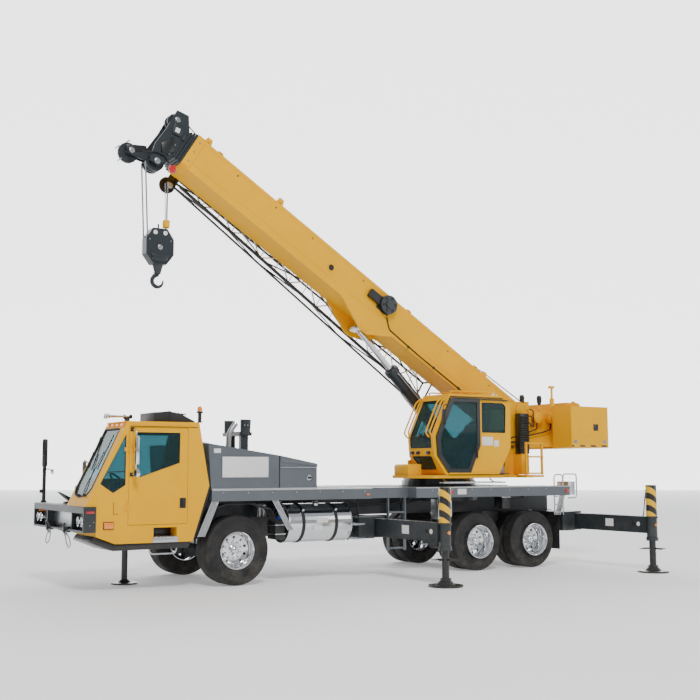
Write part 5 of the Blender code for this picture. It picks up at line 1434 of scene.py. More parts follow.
def strut(name, top, foot, width, y0, y1, m):
    """A slanted tread-plate strut under the deck, with a folded bright edge."""
    a, b = Vector((top[0], 0, top[1])), Vector((foot[0], 0, foot[1]))
    half = width / 2
    outline = [
        (top[0] - half, top[1]), (top[0] + half, top[1]), (foot[0] + half, foot[1]),
        (foot[0] - half, foot[1])]
    side_plate(name, outline, y0, y1, m["deck_side"], "carrier", 0.004)
    run = (b - a).normalized() * 0.003
    for s in (-1, 1):
        tube(
            name + "_edge_%d" % s,
            [
                at(top[0] + s * half, max(y0, y1), top[1]) - run,
                at(foot[0] + s * half, max(y0, y1), foot[1]) + run],
            0.007, m["alu"], "carrier", 0)


def deck(m):
    """Tread covers, bright edges, arch struts, mudguards, mud flaps, tags and lamps along both decks."""
    body = "carrier"
    edge = WIDTH / 2
    for s, name, notch in ((1, "left", (-2.56, -3.50, -7.15)), (-1, "right", (-2.28, -2.66, -6.97))):
        front = 0.48
        hood_half = 0.62
        for k, (x0, x1, y0, y1) in enumerate(
            (
                (notch[0] + 0.02, front - 0.02, hood_half, edge - 0.01),
                (notch[2] + 0.02, notch[1] - 0.02, 0.86, edge - 0.01), (notch[1], notch[0], 0.86, 1.02),
                (notch[0], -1.48, 0.36, hood_half))):
            block(
                "deck_tread_%s_%d" % (name, k), at(x0, s * y0, DECK_Z), at(x1, s * y1, DECK_Z + 0.004),
                m["deck"], body, 0.001)
        for k, (x0, x1) in enumerate(((notch[0], front), (notch[2], notch[1]))):
            block(
                "deck_edge_%s_%d" % (name, k), at(x0, s * (edge - 0.012), DECK_Z - 0.012),
                at(x1, s * (edge + 0.004), DECK_Z + 0.008), m["alu"], body, 0.004)
            bolts(
                "fascia_rivets_%s_%d" % (name, k),
                [
                    at(x0 + 0.15 + 0.45 * i, s * edge, DECK_Z - 0.05)
                    for i in range(int((x1 - x0 - 0.2) / 0.45) + 1)],
                (0, s, 0), 0.009, m["alu"], body)
        strut("front_strut_" + name, (0.42, 1.35), (0.66, 0.80), 0.12, s * 1.255, s * 1.28, m)
        strut("rear_strut_" + name, (-0.66, 1.35), (-0.95, 0.86), 0.10, s * 1.255, s * 1.28, m)
        strut(
            "tail_strut_" + name, (-6.98 if s > 0 else -6.90, 1.35), (-6.86, 0.98), 0.11, s * 1.255,
            s * 1.28, m)
        arch = [
            at(0.62, s * 1.00, 1.00), at(0.50, s * 1.00, 1.20), at(0.20, s * 1.00, 1.29),
            at(-0.30, s * 1.00, 1.29), at(-0.60, s * 1.00, 1.20), at(-0.74, s * 1.00, 0.98)]
        guard(name, arch, s, m)
        block(
            "tail_lamp_" + name, at(notch[2] - 0.002, s * 1.05, 1.375),
            at(notch[2] - 0.02, s * 1.22, 1.475), m["red"], body, 0.008)
        block(
            "tail_amber_" + name, at(notch[2] - 0.002, s * 0.90, 1.375),
            at(notch[2] - 0.02, s * 1.03, 1.475), m["amber"], body, 0.008)
        block(
            "deck_lamp_" + name, at(-2.50, s * edge, 1.41), at(-2.44, s * (edge + 0.014), 1.44), m["amber"],
            body, 0.005)
        lens = [(0, 0), (0, 0.04), (0.012, 0.04), (0.018, 0.03), (0.02, 0)]
        for k, x in enumerate((notch[2] + 0.07, -4.27)):
            spun("deck_lamp_%s_%d" % (name, k), lens, at(x, s * edge, 1.44), (0, s, 0), m["red"], body, 28)
        block(
            "deck_blank_tag_" + name, at(-4.42, s * edge, 1.40), at(-4.62, s * (edge + 0.002), 1.50),
            m["white"], body, 0)
        block(
            "mud_flap_" + name, at(-6.96, s * 0.62, 0.32), at(-6.945, s * 1.20, 1.02), m["rubber"], body,
            0.003)


def guard(name, path, s, m):
    """A rubber-edged mudguard over a front wheel, open to the wheel beneath."""
    outline = [Vector(p) for p in path] + [Vector(p) + Vector((0, 0, 0.018)) for p in reversed(path)]
    sheet_metal("mudguard_" + name, outline, (0, s * 0.245, 0), m["rubber"], "carrier", 0.003)


def steps_and_reductant(m):
    """Reductant tank with its cap, bands on the air filter and steps below the deck."""
    body = "carrier"
    for k, h in enumerate((0.66, 0.90)):
        block("deck_step_%d" % k, at(-2.22, 0.98, h), at(-2.44, 1.25, h + 0.03), m["alu"], body, 0.006)
        for i in range(5):
            block(
                "deck_step_cleat_%d_%d" % (k, i), at(-2.235 - 0.042 * i, 0.99, h + 0.03),
                at(-2.255 - 0.042 * i, 1.24, h + 0.037), m["alu"], body, 0.002)
    for k, x in enumerate((-2.225, -2.435)):
        block(
            "deck_step_hanger_%d" % k, at(x - 0.008, 1.0, 0.64), at(x + 0.008, 1.04, 1.36), m["charcoal"],
            body, 0.004)
    deftank = [(-0.74, 0.70), (-0.74, 1.00), (-0.77, 1.03), (-0.90, 1.03), (-0.93, 1.00), (-0.93, 0.70)]
    side_plate("reductant_tank", deftank, 0.85, 1.14, m["plastic"], body, 0.02, 3)
    blue = start_material("reductant_cap_blue", (0.02, 0.09, 0.5), 0.4, 0.0)[0]
    spun(
        "reductant_cap", [(0, 0), (0, 0.045), (0.03, 0.045), (0.045, 0.03), (0.05, 0)],
        at(-0.83, 1.06, 1.03), (0, 0, 1), blue, body, 24)
    for k, h in enumerate((0.78, 0.93)):
        block("tank_band_%d" % k, at(-0.732, 0.845, h), at(-0.938, 1.146, h + 0.018), m["alu"], body, 0.003)
    for k, x in enumerate((-0.70, -0.62)):
        spun(
            "air_filter_%d" % k,
            [(0, 0), (0, 0.05), (0.02, 0.055), (0.20, 0.055), (0.22, 0.03), (0.225, 0)],
            at(x - 0.1, 0.60, 1.06), (0, 0, 1), m["steel"], body, 24)


def stowage(m):
    """Lockers, rear ladders, tail rail and tail case."""
    body = "carrier"
    block("alu_locker", at(-4.00, 1.03, 0.96), at(-4.30, 1.24, 1.32), m["alu"], body, 0.012)
    block("alu_locker_lid", at(-3.985, 1.235, 1.00), at(-4.315, 1.25, 1.29), m["alu"], body, 0.006)
    block("locker_catch", at(-4.13, 1.25, 1.12), at(-4.17, 1.262, 1.18), m["chrome"], body, 0.004)
    block("dark_locker", at(-5.52, 0.98, 1.12), at(-5.70, 1.22, 1.34), m["black"], body, 0.008)
    block("dark_locker_edge", at(-5.50, 1.22, 1.325), at(-5.72, 1.232, 1.345), m["alu"], body, 0.003)
    for s, xs in ((1, (-7.00, -6.78)), (-1, (-6.80, -6.58))):
        rails = [
            at(x, s * 1.27, z) for x, z in ((xs[0], 0.98), (xs[0], 1.75), (xs[1], 1.75), (xs[1], 0.98))]
        tube("tail_ladder_%d" % s, rails, 0.013, m["alu"], body, 0.06)
        for k in range(3):
            block(
                "tail_rung_%d_%d" % (s, k), at(xs[0], s * 1.26, 1.02 + 0.15 * k),
                at(xs[1], s * 1.285, 1.04 + 0.15 * k), m["alu"], body, 0.005)
    tail = [
        at(-7.02, 1.26, 1.50), at(-7.02, 1.26, 1.76), at(-7.37, 1.26, 1.76), at(-7.37, 1.26, 1.30),
        at(-7.15, 1.26, 1.30)]
    tube("tail_rail", tail, 0.014, m["alu"], body, 0.06)
    block("tail_case", at(-7.165, 0.92, 1.36), at(-7.35, 1.24, 1.60), m["alu"], body, 0.01)
    block("tail_case_lid", at(-7.163, 0.91, 1.60), at(-7.36, 1.25, 1.615), m["polished"], body, 0.004)


def air_tanks(m):
    """Air tanks with a bracket, hoses along the frame and the drive shaft."""
    body = "carrier"
    block("air_tank_bracket", at(-3.62, 0.60, 0.98), at(-3.70, 0.66, 1.34), m["charcoal"], body, 0.004)
    tank = [(0, 0), (0.01, 0.08), (0.05, 0.11), (0.75, 0.11), (0.79, 0.08), (0.80, 0)]
    spun("air_tank_left", tank, at(-3.42, 0.72, 0.86), (-1, 0, 0), m["black"], body, 32)
    spun("air_tank_right", tank, at(-3.42, -0.72, 0.86), (-1, 0, 0), m["black"], body, 32)
    for k in range(3):
        line = [
            at(-2.25, 0.48 + 0.05 * k, 1.02 - 0.02 * k), at(-2.5, 0.50 + 0.05 * k, 1.20),
            at(-3.6, 0.50 + 0.05 * k, 1.22), at(-4.2, 0.42 + 0.05 * k, 1.30)]
        tube("frame_hose_%d" % k, line, 0.012, m["rubber"], body, 0.12)
    pin("drive_shaft", at(-1.32, 0.0, 0.86), at(-4.60, 0.0, 0.60), 0.045, m["steel"], body, 20)


def lockers(m):
    """Tank fittings, reductant tank, steps, tool lockers and ladders."""
    body = "carrier"
    y, z, r = 0.875, 0.955, 0.325
    for k, x in enumerate((-1.28, -1.92)):
        spun(
            "tank_strap_%d" % k, [(0, r + 0.001), (0, r + 0.008), (0.055, r + 0.008), (0.055, r + 0.001)],
            at(x, y, z), (1, 0, 0), m["rubber"], body, 64)
        block(
            "strap_buckle_%d" % k, at(x + 0.008, y + r * 0.80, z + r * 0.62),
            at(x + 0.048, y + r * 0.92, z + r * 0.72), m["chrome"], body, 0.004)
    for k, x in enumerate((-0.985, -2.195)):
        spun(
            "tank_end_%d" % k,
            [
                (0, 0), (0, r + 0.004), (0.02, r + 0.006), (0.02, r - 0.006), (0.012, r - 0.02),
                (0.03, r * 0.6), (0.035, 0)],
            at(x - 0.008 + 0.016 * k, y, z), (1 - 2 * k, 0, 0), m["polished"], body, 64)
    spun(
        "fuel_cap", [(0, 0), (0, 0.055), (0.035, 0.055), (0.04, 0.045), (0.04, 0)],
        at(-1.60, y + 0.10, z + r - 0.02), (0, 0.3, 1), m["chrome"], body, 32)
    block(
        "tank_label_a", at(-1.50, y + r + 0.0005, 0.96), at(-1.72, y + r + 0.002, 1.04), m["white"], body,
        0)
    block(
        "tank_label_b", at(-1.44, y + r + 0.0005, 0.84), at(-1.60, y + r + 0.002, 0.92), m["white"], body,
        0)
    steps_and_reductant(m)
    stowage(m)
    air_tanks(m)


# ---------------------------------------------------------------- outriggers


JACKS = (
    ("front_left", -2.80, 1), ("rear_left", -7.495, 1), ("front_right", -2.47, -1),
    ("rear_right", -7.165, -1))


def outrigger_beam(name, x, s, m):
    """Wear pads, marks, holes, welds, hose, port and lamp of one sliding beam."""
    beam = "outrigger_beam_" + name
    for k in range(5):
        a = at(x, s * (1.62 + 0.2 * k), 0)
        block(
            "beam_wear_%s_%d" % (name, k), (a.x - 0.05, a.y - 0.03, 1.0005),
            (a.x + 0.05, a.y + 0.03, 1.003), m["steel"], beam, 0.001)
    for side in (1, -1):
        face = 0.1255 * side
        block(
            "beam_mark_%s_%d" % (name, side), at(x + face, s * 2.02, 0.79),
            at(x + face + side * 0.002, s * 2.22, 0.93), m["white"], beam, 0)
        # Painted shade: a dark rubber ring and disc stand in for the shaded inside of the hole in the beam.
        spun(
            "beam_hole_painted_shade_%s_%d" % (name, side),
            [(0, 0.036), (0.008, 0.036), (0.008, 0.026), (0.002, 0.026), (0.002, 0), (0, 0)],
            at(x + face, s * 2.72, 0.86), (side, 0, 0), m["rubber"], beam, 28)
        spun(
            "beam_disc_%s_%d" % (name, side), [(0, 0), (0, 0.04), (0.003, 0.04), (0.003, 0)],
            at(x + face, s * 2.84, 0.86), (side, 0, 0), m["white"], beam, 28)
        block(
            "beam_weld_%s_%d" % (name, side), at(x + face, s * 1.30, 0.702),
            at(x + face + side * 0.006, s * 2.94, 0.712), m["charcoal"], beam, 0.002)
        spun(
            "box_pad_bolt_%s_%d" % (name, side), rod_profile(0.02, 0.022, 0.003),
            at(x + side * 0.155, s * 1.18, 0.86), (side, 0, 0), m["steel"], "carrier", 6)
    hose = [
        at(x + 0.06, s * 2.90, 1.002), at(x + 0.06, s * 2.92, 1.06), at(x + 0.07, s * 2.96, 1.30),
        at(x + 0.08, s * 3.0, 1.46)]
    tube("jack_hose_" + name, hose, 0.010, m["rubber"], beam, 0.04)
    spun(
        "jack_port_" + name, rod_profile(0.05, 0.02, 0.003), at(x + 0.07, s * 2.99, 1.47),
        (0.3, s * 0.3, 0), m["steel"], beam, 16)
    spun(
        "beam_lamp_" + name, [(0, 0), (0, 0.028), (0.012, 0.028), (0.02, 0.018), (0.022, 0)],
        at(x, s * 3.146, 0.85), (0, s, 0), m["amber"], beam, 24)


def outrigger(name, x, s, m):
    """Stripes, gland, foot plate detail, beam marks and hose of one outrigger."""
    beam = "outrigger_beam_" + name
    ram = "outrigger_ram_" + name
    y = s * JACK_Y
    up = (0, 0, 1)
    sleeve = [
        (0, 0.0955), (0, 0.0985), (0.555, 0.0985), (0.565, 0.093), (0.567, 0.06), (0.567, 0), (0.562, 0)]
    spun("jack_sleeve_" + name, sleeve, at(x, y, 1.005), up, m["stripes"], beam, 40)
    spun(
        "jack_gland_" + name, [(0, 0.064), (0, 0.108), (0.06, 0.108), (0.07, 0.097), (0.07, 0.064)],
        at(x, y, 0.565), up, m["charcoal"], beam, 36)
    spun(
        "jack_band_" + name, [(0, 0.0955), (0, 0.112), (0.03, 0.112), (0.03, 0.0955)], at(x, y, 0.97), up,
        m["charcoal"], beam, 36)
    rib = [at(x, y, 0.44), at(x, y + s * 0.24, 0.425), at(x, y + s * 0.24, 0.412), at(x, y, 0.412)]
    for k in range(6):
        turn = Matrix.Translation(at(x, y, 0)) @ Matrix.Rotation(
            math.tau * k / 6, 4, "Z") @ Matrix.Translation(-at(x, y, 0))
        fin = [turn @ (p + Vector((0, s * 0.066, 0)) if i in (0, 3) else p) for i, p in enumerate(rib)]
        width = (turn.to_3x3() @ Vector((0.012, 0, 0)))
        sheet_metal("float_rib_%s_%d" % (name, k), fin, width, m["black"], ram, 0.003)
    outrigger_beam(name, x, s, m)


def nose_jack(m):
    """Gland of the jack under the front."""
    spun(
        "nose_gland", [(0, 0.053), (0, 0.09), (0.05, 0.09), (0.05, 0.053)], at(1.44, 0, 0.585), (0, 0, 1),
        m["charcoal"], "carrier", 32)


# ---------------------------------------------------------------- superstructure


def outline_at(outline, y):
    return [at(x, y, z) for x, z in outline]


CRANE_DOOR_GLASS = (
    (-4.42, 3.10), (-4.11, 2.45), (-4.13, 2.13), (-4.34, 1.86), (-4.75, 1.86), (-4.965, 2.31),
    (-4.965, 3.10))


def crane_cab_front(z):
    """Lengthwise place of the crane cab's front skin at a height."""
    if z > 2.45:
        return -4.33 + (3.24 - z) / 0.79 * 0.37
    if z > 2.09:
        return -3.96 - (2.45 - z) / 0.36 * 0.03
    return -3.99 - (2.09 - z) / 0.335 * 0.26


def crane_cab_glass(m):
    """Every pane of the crane cab."""
    body = "superstructure"
    inward = Vector((-0.016, 0, -0.006))
    pane(
        "crane_windscreen",
        [at(crane_cab_front(z), y, z) for y, z in ((0.45, 2.46), (1.10, 2.46), (1.10, 3.13), (0.45, 3.13))],
        inward, m["glass"], body, m)
    pane(
        "crane_mid_glass",
        [at(crane_cab_front(z), y, z) for y, z in ((0.45, 2.25), (1.10, 2.25), (1.10, 2.44), (0.45, 2.44))],
        (-0.014, 0, 0), m["glass"], body, m)
    pane(
        "crane_low_glass",
        [
            at(crane_cab_front(z), y, z)
            for y, z in ((0.48, 2.085), (1.07, 2.085), (0.99, 1.86), (0.54, 1.86))],
        inward, m["glass"], body, m)
    rear_side = ((-5.10, 3.10), (-5.10, 2.54), (-5.66, 2.54), (-5.68, 3.04), (-5.60, 3.10))
    pane("crane_side_glass", outline_at(rear_side, CRANE_CAB_OUT), (0, -0.014, 0), m["glass"], body, m)
    pane(
        "crane_far_glass",
        outline_at(((-4.42, 3.10), (-4.10, 2.45), (-5.62, 2.45), (-5.62, 3.10)), CRANE_CAB_IN),
        (0, 0.014, 0), m["glass"], body, m)
    pane(
        "crane_rear_glass",
        [at(-5.80, y, z) for y, z in ((0.50, 2.45), (1.05, 2.45), (1.05, 3.02), (0.50, 3.02))],
        (0.014, 0, 0), m["glass"], body, m)
    pane(
        "crane_door_glass", outline_at(CRANE_DOOR_GLASS, 1.204), (0, -0.012, 0), m["glass"],
        "crane_cab_sliding_door", m)


def crane_cab_rails(m):
    """Screen guards, roof rails, gutter and the sliding door gear."""
    body = "superstructure"
    for k, y in enumerate((0.395, 1.075)):
        guard_line = [
            at(crane_cab_front(3.20) + 0.03, y, 3.19), at(crane_cab_front(3.10) + 0.12, y, 3.10),
            at(crane_cab_front(2.50) + 0.12, y, 2.52), at(crane_cab_front(2.44) + 0.02, y, 2.44)]
        tube("screen_guard_%d" % k, guard_line, 0.016, m["yellow"], body, 0.05)
        twin = [p + Vector((-0.045, 0.055, 0)) for p in guard_line]
        tube("screen_guard_twin_%d" % k, twin, 0.016, m["yellow"], body, 0.05)
    for k, y in enumerate((0.45, 1.10)):
        rail = [at(-4.42, y, 3.24), at(-4.42, y, 3.30), at(-5.50, y, 3.30), at(-5.50, y, 3.24)]
        tube("roof_rail_%d" % k, rail, 0.014, m["yellow"], body, 0.04)
    for k, x in enumerate((-4.70, -4.98, -5.26)):
        tube("roof_bar_%d" % k, [at(x, 0.45, 3.30), at(x, 1.10, 3.30)], 0.011, m["yellow"], body, 0)
    block(
        "roof_gutter", at(-5.60, CRANE_CAB_OUT, 3.185), at(-4.36, CRANE_CAB_OUT + 0.02, 3.20), m["black"],
        body, 0.004)
    block(
        "door_rail_top", at(-5.72, CRANE_CAB_OUT + 0.004, 3.145),
        at(-4.45, CRANE_CAB_OUT + 0.006 + 0.034, 3.165), m["black"], body, 0.004)
    block(
        "door_rail_low", at(-5.72, CRANE_CAB_OUT + 0.004, 1.765), at(-4.32, CRANE_CAB_OUT + 0.036, 1.782),
        m["black"], body, 0.004)
    block(
        "crane_door_handle", at(-4.955, 1.209, 2.10), at(-4.93, 1.235, 2.26), m["plastic"],
        "crane_cab_sliding_door", 0.008)
    block(
        "crane_door_lock", at(-4.97, 1.208, 2.06), at(-4.91, 1.214, 2.30), m["rubber"],
        "crane_cab_sliding_door", 0.002)


def crane_cab_fittings(m):
    """Wiper, work lamps, blank labels and mirror."""
    body = "superstructure"
    foot = at(crane_cab_front(2.47) + 0.02, 0.78, 2.47)
    tube(
        "crane_wiper",
        [foot, foot + Vector((0.02, 0.02, 0.05)), at(crane_cab_front(2.95) + 0.03, 0.92, 2.95)], 0.007,
        m["plastic"], body, 0.03)
    block(
        "crane_wiper_motor", foot + Vector((-0.03, -0.05, -0.03)), foot + Vector((0.02, 0.05, 0.03)),
        m["plastic"], body, 0.01)
    for k, y in enumerate((0.52, 0.70, 1.02)):
        block(
            "work_lamp_%d" % k, at(crane_cab_front(2.16) + 0.002, y - 0.035, 2.125),
            at(crane_cab_front(2.16) + 0.05, y + 0.035, 2.185), m["plastic"], body, 0.01)
        block(
            "work_lamp_glass_%d" % k, at(crane_cab_front(2.16) + 0.05, y - 0.028, 2.132),
            at(crane_cab_front(2.16) + 0.058, y + 0.028, 2.178), m["clear"], body, 0.003)
    block(
        "blank_label_wide", at(-5.10, CRANE_CAB_OUT, 2.30), at(-5.36, CRANE_CAB_OUT + 0.002, 2.46),
        m["white"], body, 0)
    block(
        "blank_label_small", at(-5.39, CRANE_CAB_OUT, 2.28), at(-5.50, CRANE_CAB_OUT + 0.002, 2.40),
        m["white"], body, 0)
    tube(
        "crane_mirror_arm",
        [
            at(-4.30, CRANE_CAB_OUT + 0.045, 3.05), at(-4.12, CRANE_CAB_OUT + 0.12, 3.02),
            at(-4.10, CRANE_CAB_OUT + 0.14, 2.92)],
        0.009, m["black"], body, 0.04)
    block(
        "crane_mirror", at(-4.12, CRANE_CAB_OUT + 0.09, 2.66), at(-4.095, CRANE_CAB_OUT + 0.20, 2.94),
        m["plastic"], body, 0.012)


def crane_cab_inside(m):
    """Seat, consoles, display and pedals."""
    body = "superstructure"
    seat("operator_seat", -4.95, 0.78, 1.80, body, m)
    for s in (-1, 1):
        y = 0.78 + s * 0.30
        block("console_%d" % s, at(-5.05, y - 0.05, 1.85), at(-4.62, y + 0.05, 2.22), m["trim"], body, 0.02)
        tube("joystick_%d" % s, [at(-4.70, y, 2.22), at(-4.69, y, 2.34)], 0.011, m["plastic"], body, 0)
        spun(
            "joystick_grip_%d" % s, [(0, 0), (0.005, 0.017), (0.05, 0.022), (0.09, 0.018), (0.10, 0)],
            at(-4.69, y, 2.33), (0.05, 0, 1), m["plastic"], body, 20)
    block("load_display", at(-4.22, 0.52, 2.36), at(-4.26, 0.74, 2.54), m["plastic"], body, 0.01)
    block("load_display_face", at(-4.26, 0.54, 2.38), at(-4.264, 0.72, 2.52), m["rubber"], body, 0.001)
    tube("load_display_post", [at(-4.22, 0.63, 2.37), at(-4.20, 0.63, 2.12)], 0.012, m["plastic"], body, 0)
    for k, y in enumerate((0.66, 0.80)):
        block("pedal_%d" % k, at(-4.42, y, 1.90), at(-4.30, y + 0.08, 1.915), m["steel"], body, 0.003)


def crane_cab(m):
    """Glass, seals, guards, rails, wiper, lamps and handles of the crane cab."""
    crane_cab_glass(m)
    crane_cab_rails(m)
    crane_cab_fittings(m)
    crane_cab_inside(m)


def rear_steps(m):
    """Step with its posts, bars and mount behind the cab."""
    body = "superstructure"
    y = 1.00
    for k, x in enumerate((-6.32, -6.72)):
        block(
            "step_post_%d" % k, at(x - 0.02, y - 0.02, 1.75), at(x + 0.02, y + 0.02, 2.38), m["yellow"],
            body, 0.005)
    for k, z in enumerate((1.76, 2.08, 2.34)):
        block(
            "step_bar_%d" % k, at(-6.32, y - 0.03, z), at(-6.72, y + 0.05, z + 0.03), m["yellow"], body,
            0.005)
    block("step_mount", at(-6.30, 0.74, 1.70), at(-6.74, y + 0.04, 1.742), m["yellow"], body, 0.006)


def pivot_bosses(m):
    """Ribs and the bosses of the boom foot and the cylinder on both cheeks."""
    body = "superstructure"
    for s in (1, -1):
        y0 = s * 0.336
        rib = [(-4.9, 1.75), (-4.9, 2.05), (-5.1, 2.30), (-5.16, 2.30), (-4.97, 2.02), (-4.97, 1.75)]
        side_plate("cheek_rib_%d" % s, rib, y0, y0 + s * 0.07, m["yellow"], body, 0.004)
        spun(
            "foot_boss_%d" % s,
            [
                (0, 0.13), (0.012, 0.14), (0.035, 0.14), (0.045, 0.12), (0.045, 0.06), (0.05, 0.058),
                (0.05, 0), (0, 0)],
            at(-6.78, y0 - s * 0.0, 3.05), (0, s, 0), m["yellow"], body, 40)
        bolts(
            "foot_boss_bolts_%d" % s,
            [
                at(-6.78 + 0.095 * math.cos(a), y0 + s * 0.044, 3.05 + 0.095 * math.sin(a))
                for a in [math.tau * k / 8 for k in range(8)]],
            (0, s, 0), 0.010, m["steel"], body)
        spun(
            "cylinder_boss_%d" % s, [(0, 0.09), (0.02, 0.10), (0.03, 0.09), (0.03, 0)], at(-5.54, y0, 2.05),
            (0, s, 0), m["yellow"], body, 36)


def turntable(m):
    """Front box, bearing bolts, side platform, steps, louvre, brackets and hose work."""
    body = "superstructure"
    side_plate(
        "front_valve_box", [(-3.675, 1.746), (-3.675, 1.92), (-3.71, 1.95), (-3.98, 1.95), (-3.98, 1.746)],
        0.33, 0.78, m["yellow"], body, 0.012)
    block("front_box_face", at(-3.667, 0.37, 1.765), at(-3.677, 0.74, 1.91), m["yellow"], body, 0.004)
    bolts(
        "front_box_bolts", [at(-3.667, y, z) for y in (0.40, 0.71) for z in (1.79, 1.885)], (1, 0, 0),
        0.009, m["steel"], body)
    centre = at(SLEW_X, 0, 0)
    ring = [
        centre + Vector((0.66 * math.cos(a), 0.66 * math.sin(a), 1.746))
        for a in [math.tau * k / 30 for k in range(30)]]
    clear = [p for p in ring if abs(p.y) < 0.28]
    bolts("bearing_bolts", clear, (0, 0, 1), 0.017, m["steel"], body)
    block("side_platform", at(-4.10, 1.17, 1.60), at(-5.55, 1.30, 1.625), m["alu"], body, 0.006)
    for k in range(12):
        x = -4.16 - 0.115 * k
        block(
            "platform_cleat_%d" % k, at(x, 1.185, 1.625), at(x - 0.05, 1.285, 1.631), m["alu"], body, 0.002)
    for k, x in enumerate((-4.30, -4.85, -5.40)):
        side = [at(x, 1.02, 1.69), at(x, 1.17, 1.60), at(x, 1.28, 1.60), at(x, 1.02, 1.66)]
        sheet_metal("platform_bracket_%d" % k, side, (0.012, 0, 0), m["yellow"], body, 0.002)
    louvre(m)
    rear_steps(m)
    pivot_bosses(m)
    hoses(m)


def louvre(m):
    """The slatted oil cooler beside the cheek."""
    body = "superstructure"
    lo, hi = at(-6.79, 0.42, 2.16), at(-6.55, 0.60, 2.96)
    block("cooler_case", lo, (hi.x, hi.y - 0.03, hi.z), m["black"], body, 0.01)
    for k in range(16):
        z = lo.z + 0.035 + 0.047 * k
        fin = [
            Vector((lo.x + 0.015, hi.y - 0.03, z)), Vector((lo.x + 0.015, hi.y - 0.03, z + 0.008)),
            Vector((lo.x + 0.015, hi.y, z - 0.012)), Vector((lo.x + 0.015, hi.y, z - 0.02))]
        sheet_metal("cooler_slat_%d" % k, fin, (0.21, 0, 0), m["black"], body, 0.001, 1)
    block("cooler_foot", (lo.x + 0.02, 0.34, 1.75), (hi.x - 0.02, 0.58, 2.16), m["yellow"], body, 0.01)
    post = at(-7.06, 0.95, 3.11)
    tube("rear_post", [post, post + Vector((0, 0, 0.36))], 0.022, m["yellow"], body, 0)
    block(
        "rear_post_cap", post + Vector((-0.05, -0.03, 0.34)), post + Vector((0.07, 0.03, 0.39)),
        m["yellow"], body, 0.008)
    spun(
        "rear_post_foot", [(-0.16, 0), (-0.16, 0.045), (-0.02, 0.045), (0, 0.03), (0, 0)],
        post + Vector((0, 0, 0.15)), (0, 0, 1), m["yellow"], body, 28)
    for k, x in enumerate((-6.84, -7.30)):
        guide = [(0, 0), (0, 0.03), (0.06, 0.05), (0.14, 0.055), (0.19, 0.04), (0.20, 0)]
        spun("hoist_guide_%d" % k, guide, at(x, 0.31, 3.16), (0, 0, 1), m["black"], body, 28)
        tube("hoist_guide_stem_%d" % k, [at(x, 0.31, 3.05), at(x, 0.31, 3.18)], 0.022, m["yellow"], body, 0)
    for k in range(3):
        spun(
            "hoist_fitting_%d" % k, rod_profile(0.06, 0.03 - 0.005 * k, 0.004),
            at(-6.86 - 0.04 * k, 0.345, 2.80 + 0.13 * k), (0, 1, 0), m["yellow"], body, 24)
        tube(
            "hoist_pipe_%d" % k,
            [
                at(-6.86 - 0.04 * k, 0.40, 2.80 + 0.13 * k), at(-6.95 - 0.04 * k, 0.43, 2.78 + 0.13 * k),
                at(-7.0 - 0.04 * k, 0.38, 2.70)],
            0.011, m["rubber"], body, 0.04)


def hoses(m):
    """Hoses and pipes around the boom foot."""
    body = "superstructure"
    block("swivel_manifold", at(-4.29, -0.20, 1.746), at(-4.23, 0.20, 1.92), m["steel"], body, 0.008)
    for k in range(4):
        y = 0.13 - 0.085 * k
        line = [at(-4.33, y, 1.86), at(-4.45, y, 1.88), at(-4.75, y * 0.7, 1.80), at(-5.3, y * 0.6, 1.79)]
        tube("deck_hose_%d" % k, line, 0.014, m["rubber"], body, 0.08)
        spun(
            "hose_end_%d" % k, rod_profile(0.06, 0.02, 0.003), at(-4.29, y, 1.86), (-1, 0, 0), m["steel"],
            body, 6)
    for k in range(3):
        y = 0.36 + 0.045 * k
        line = [
            at(-6.56, y, 2.30 + 0.1 * k), at(-6.40, y, 2.28 + 0.1 * k), at(-6.25, y, 2.10),
            at(-6.20, y, 1.78)]
        tube("cooler_hose_%d" % k, line, 0.013, m["rubber"], body, 0.08)
    block("valve_bank", at(-5.80, 0.36, 1.746), at(-6.14, 0.56, 1.92), m["steel"], body, 0.008)
    for k in range(6):
        spun(
            "valve_spool_%d" % k, rod_profile(0.05, 0.016, 0.003), at(-5.83 - 0.052 * k, 0.46, 1.92),
            (0, 0, 1), m["steel"], body, 16)


def counterweight(m):
    """Blank plates, lifting eyes, vents, bolts, striped edges and tail lamps of the counterweight."""
    body = "superstructure"
    for s in (1, -1):
        y = s * 1.2
        block(
            "weight_plate_%d" % s, at(-7.52, y, 2.52), at(-8.10, y + s * 0.004, 2.86),
            m["white"] if s < 0 else m["yellow"], body, 0.002)
        block(
            "weight_vent_%d" % s, at(-7.92, y + s * 0.004, 2.62), at(-8.05, y + s * 0.010, 2.75),
            m["black"], body, 0.003)
        for k, x in enumerate((-7.44, -8.22)):
            spun(
                "weight_bolt_%d_%d" % (s, k),
                [
                    (0, 0.045), (0.006, 0.045), (0.01, 0.036), (0.01, 0.022), (0.03, 0.022), (0.032, 0),
                    (0, 0)],
                at(x, y, 2.40), (0, s, 0), m["steel"], body, 6)
        lug = [
            at(-7.60, s * 0.92, 3.10), at(-7.60, s * 0.92, 3.18), at(-7.66, s * 0.92, 3.21),
            at(-7.72, s * 0.92, 3.18), at(-7.72, s * 0.92, 3.10)]
        tube("weight_eye_%d" % s, lug, 0.016, m["yellow"], body, 0.03)
        block(
            "weight_tail_lamp_%d" % s, at(-8.33, s * 0.96, 2.36), at(-8.342, s * 1.12, 2.44), m["red"],
            body, 0.005)
        block(
            "weight_edge_%d" % s, at(-7.34, s * 1.199, 2.30), at(-8.32, s * 1.207, 2.33), m["stripes"],
            body, 0.002)
    block("weight_rear_plate", at(-8.33, -0.50, 2.55), at(-8.335, 0.50, 2.90), m["yellow"], body, 0.003)
    for k, y in enumerate((-0.45, 0.45)):
        spun(
            "weight_rear_bolt_%d" % k, rod_profile(0.03, 0.03, 0.004), at(-8.33, y, 2.45), (-1, 0, 0),
            m["steel"], body, 6)


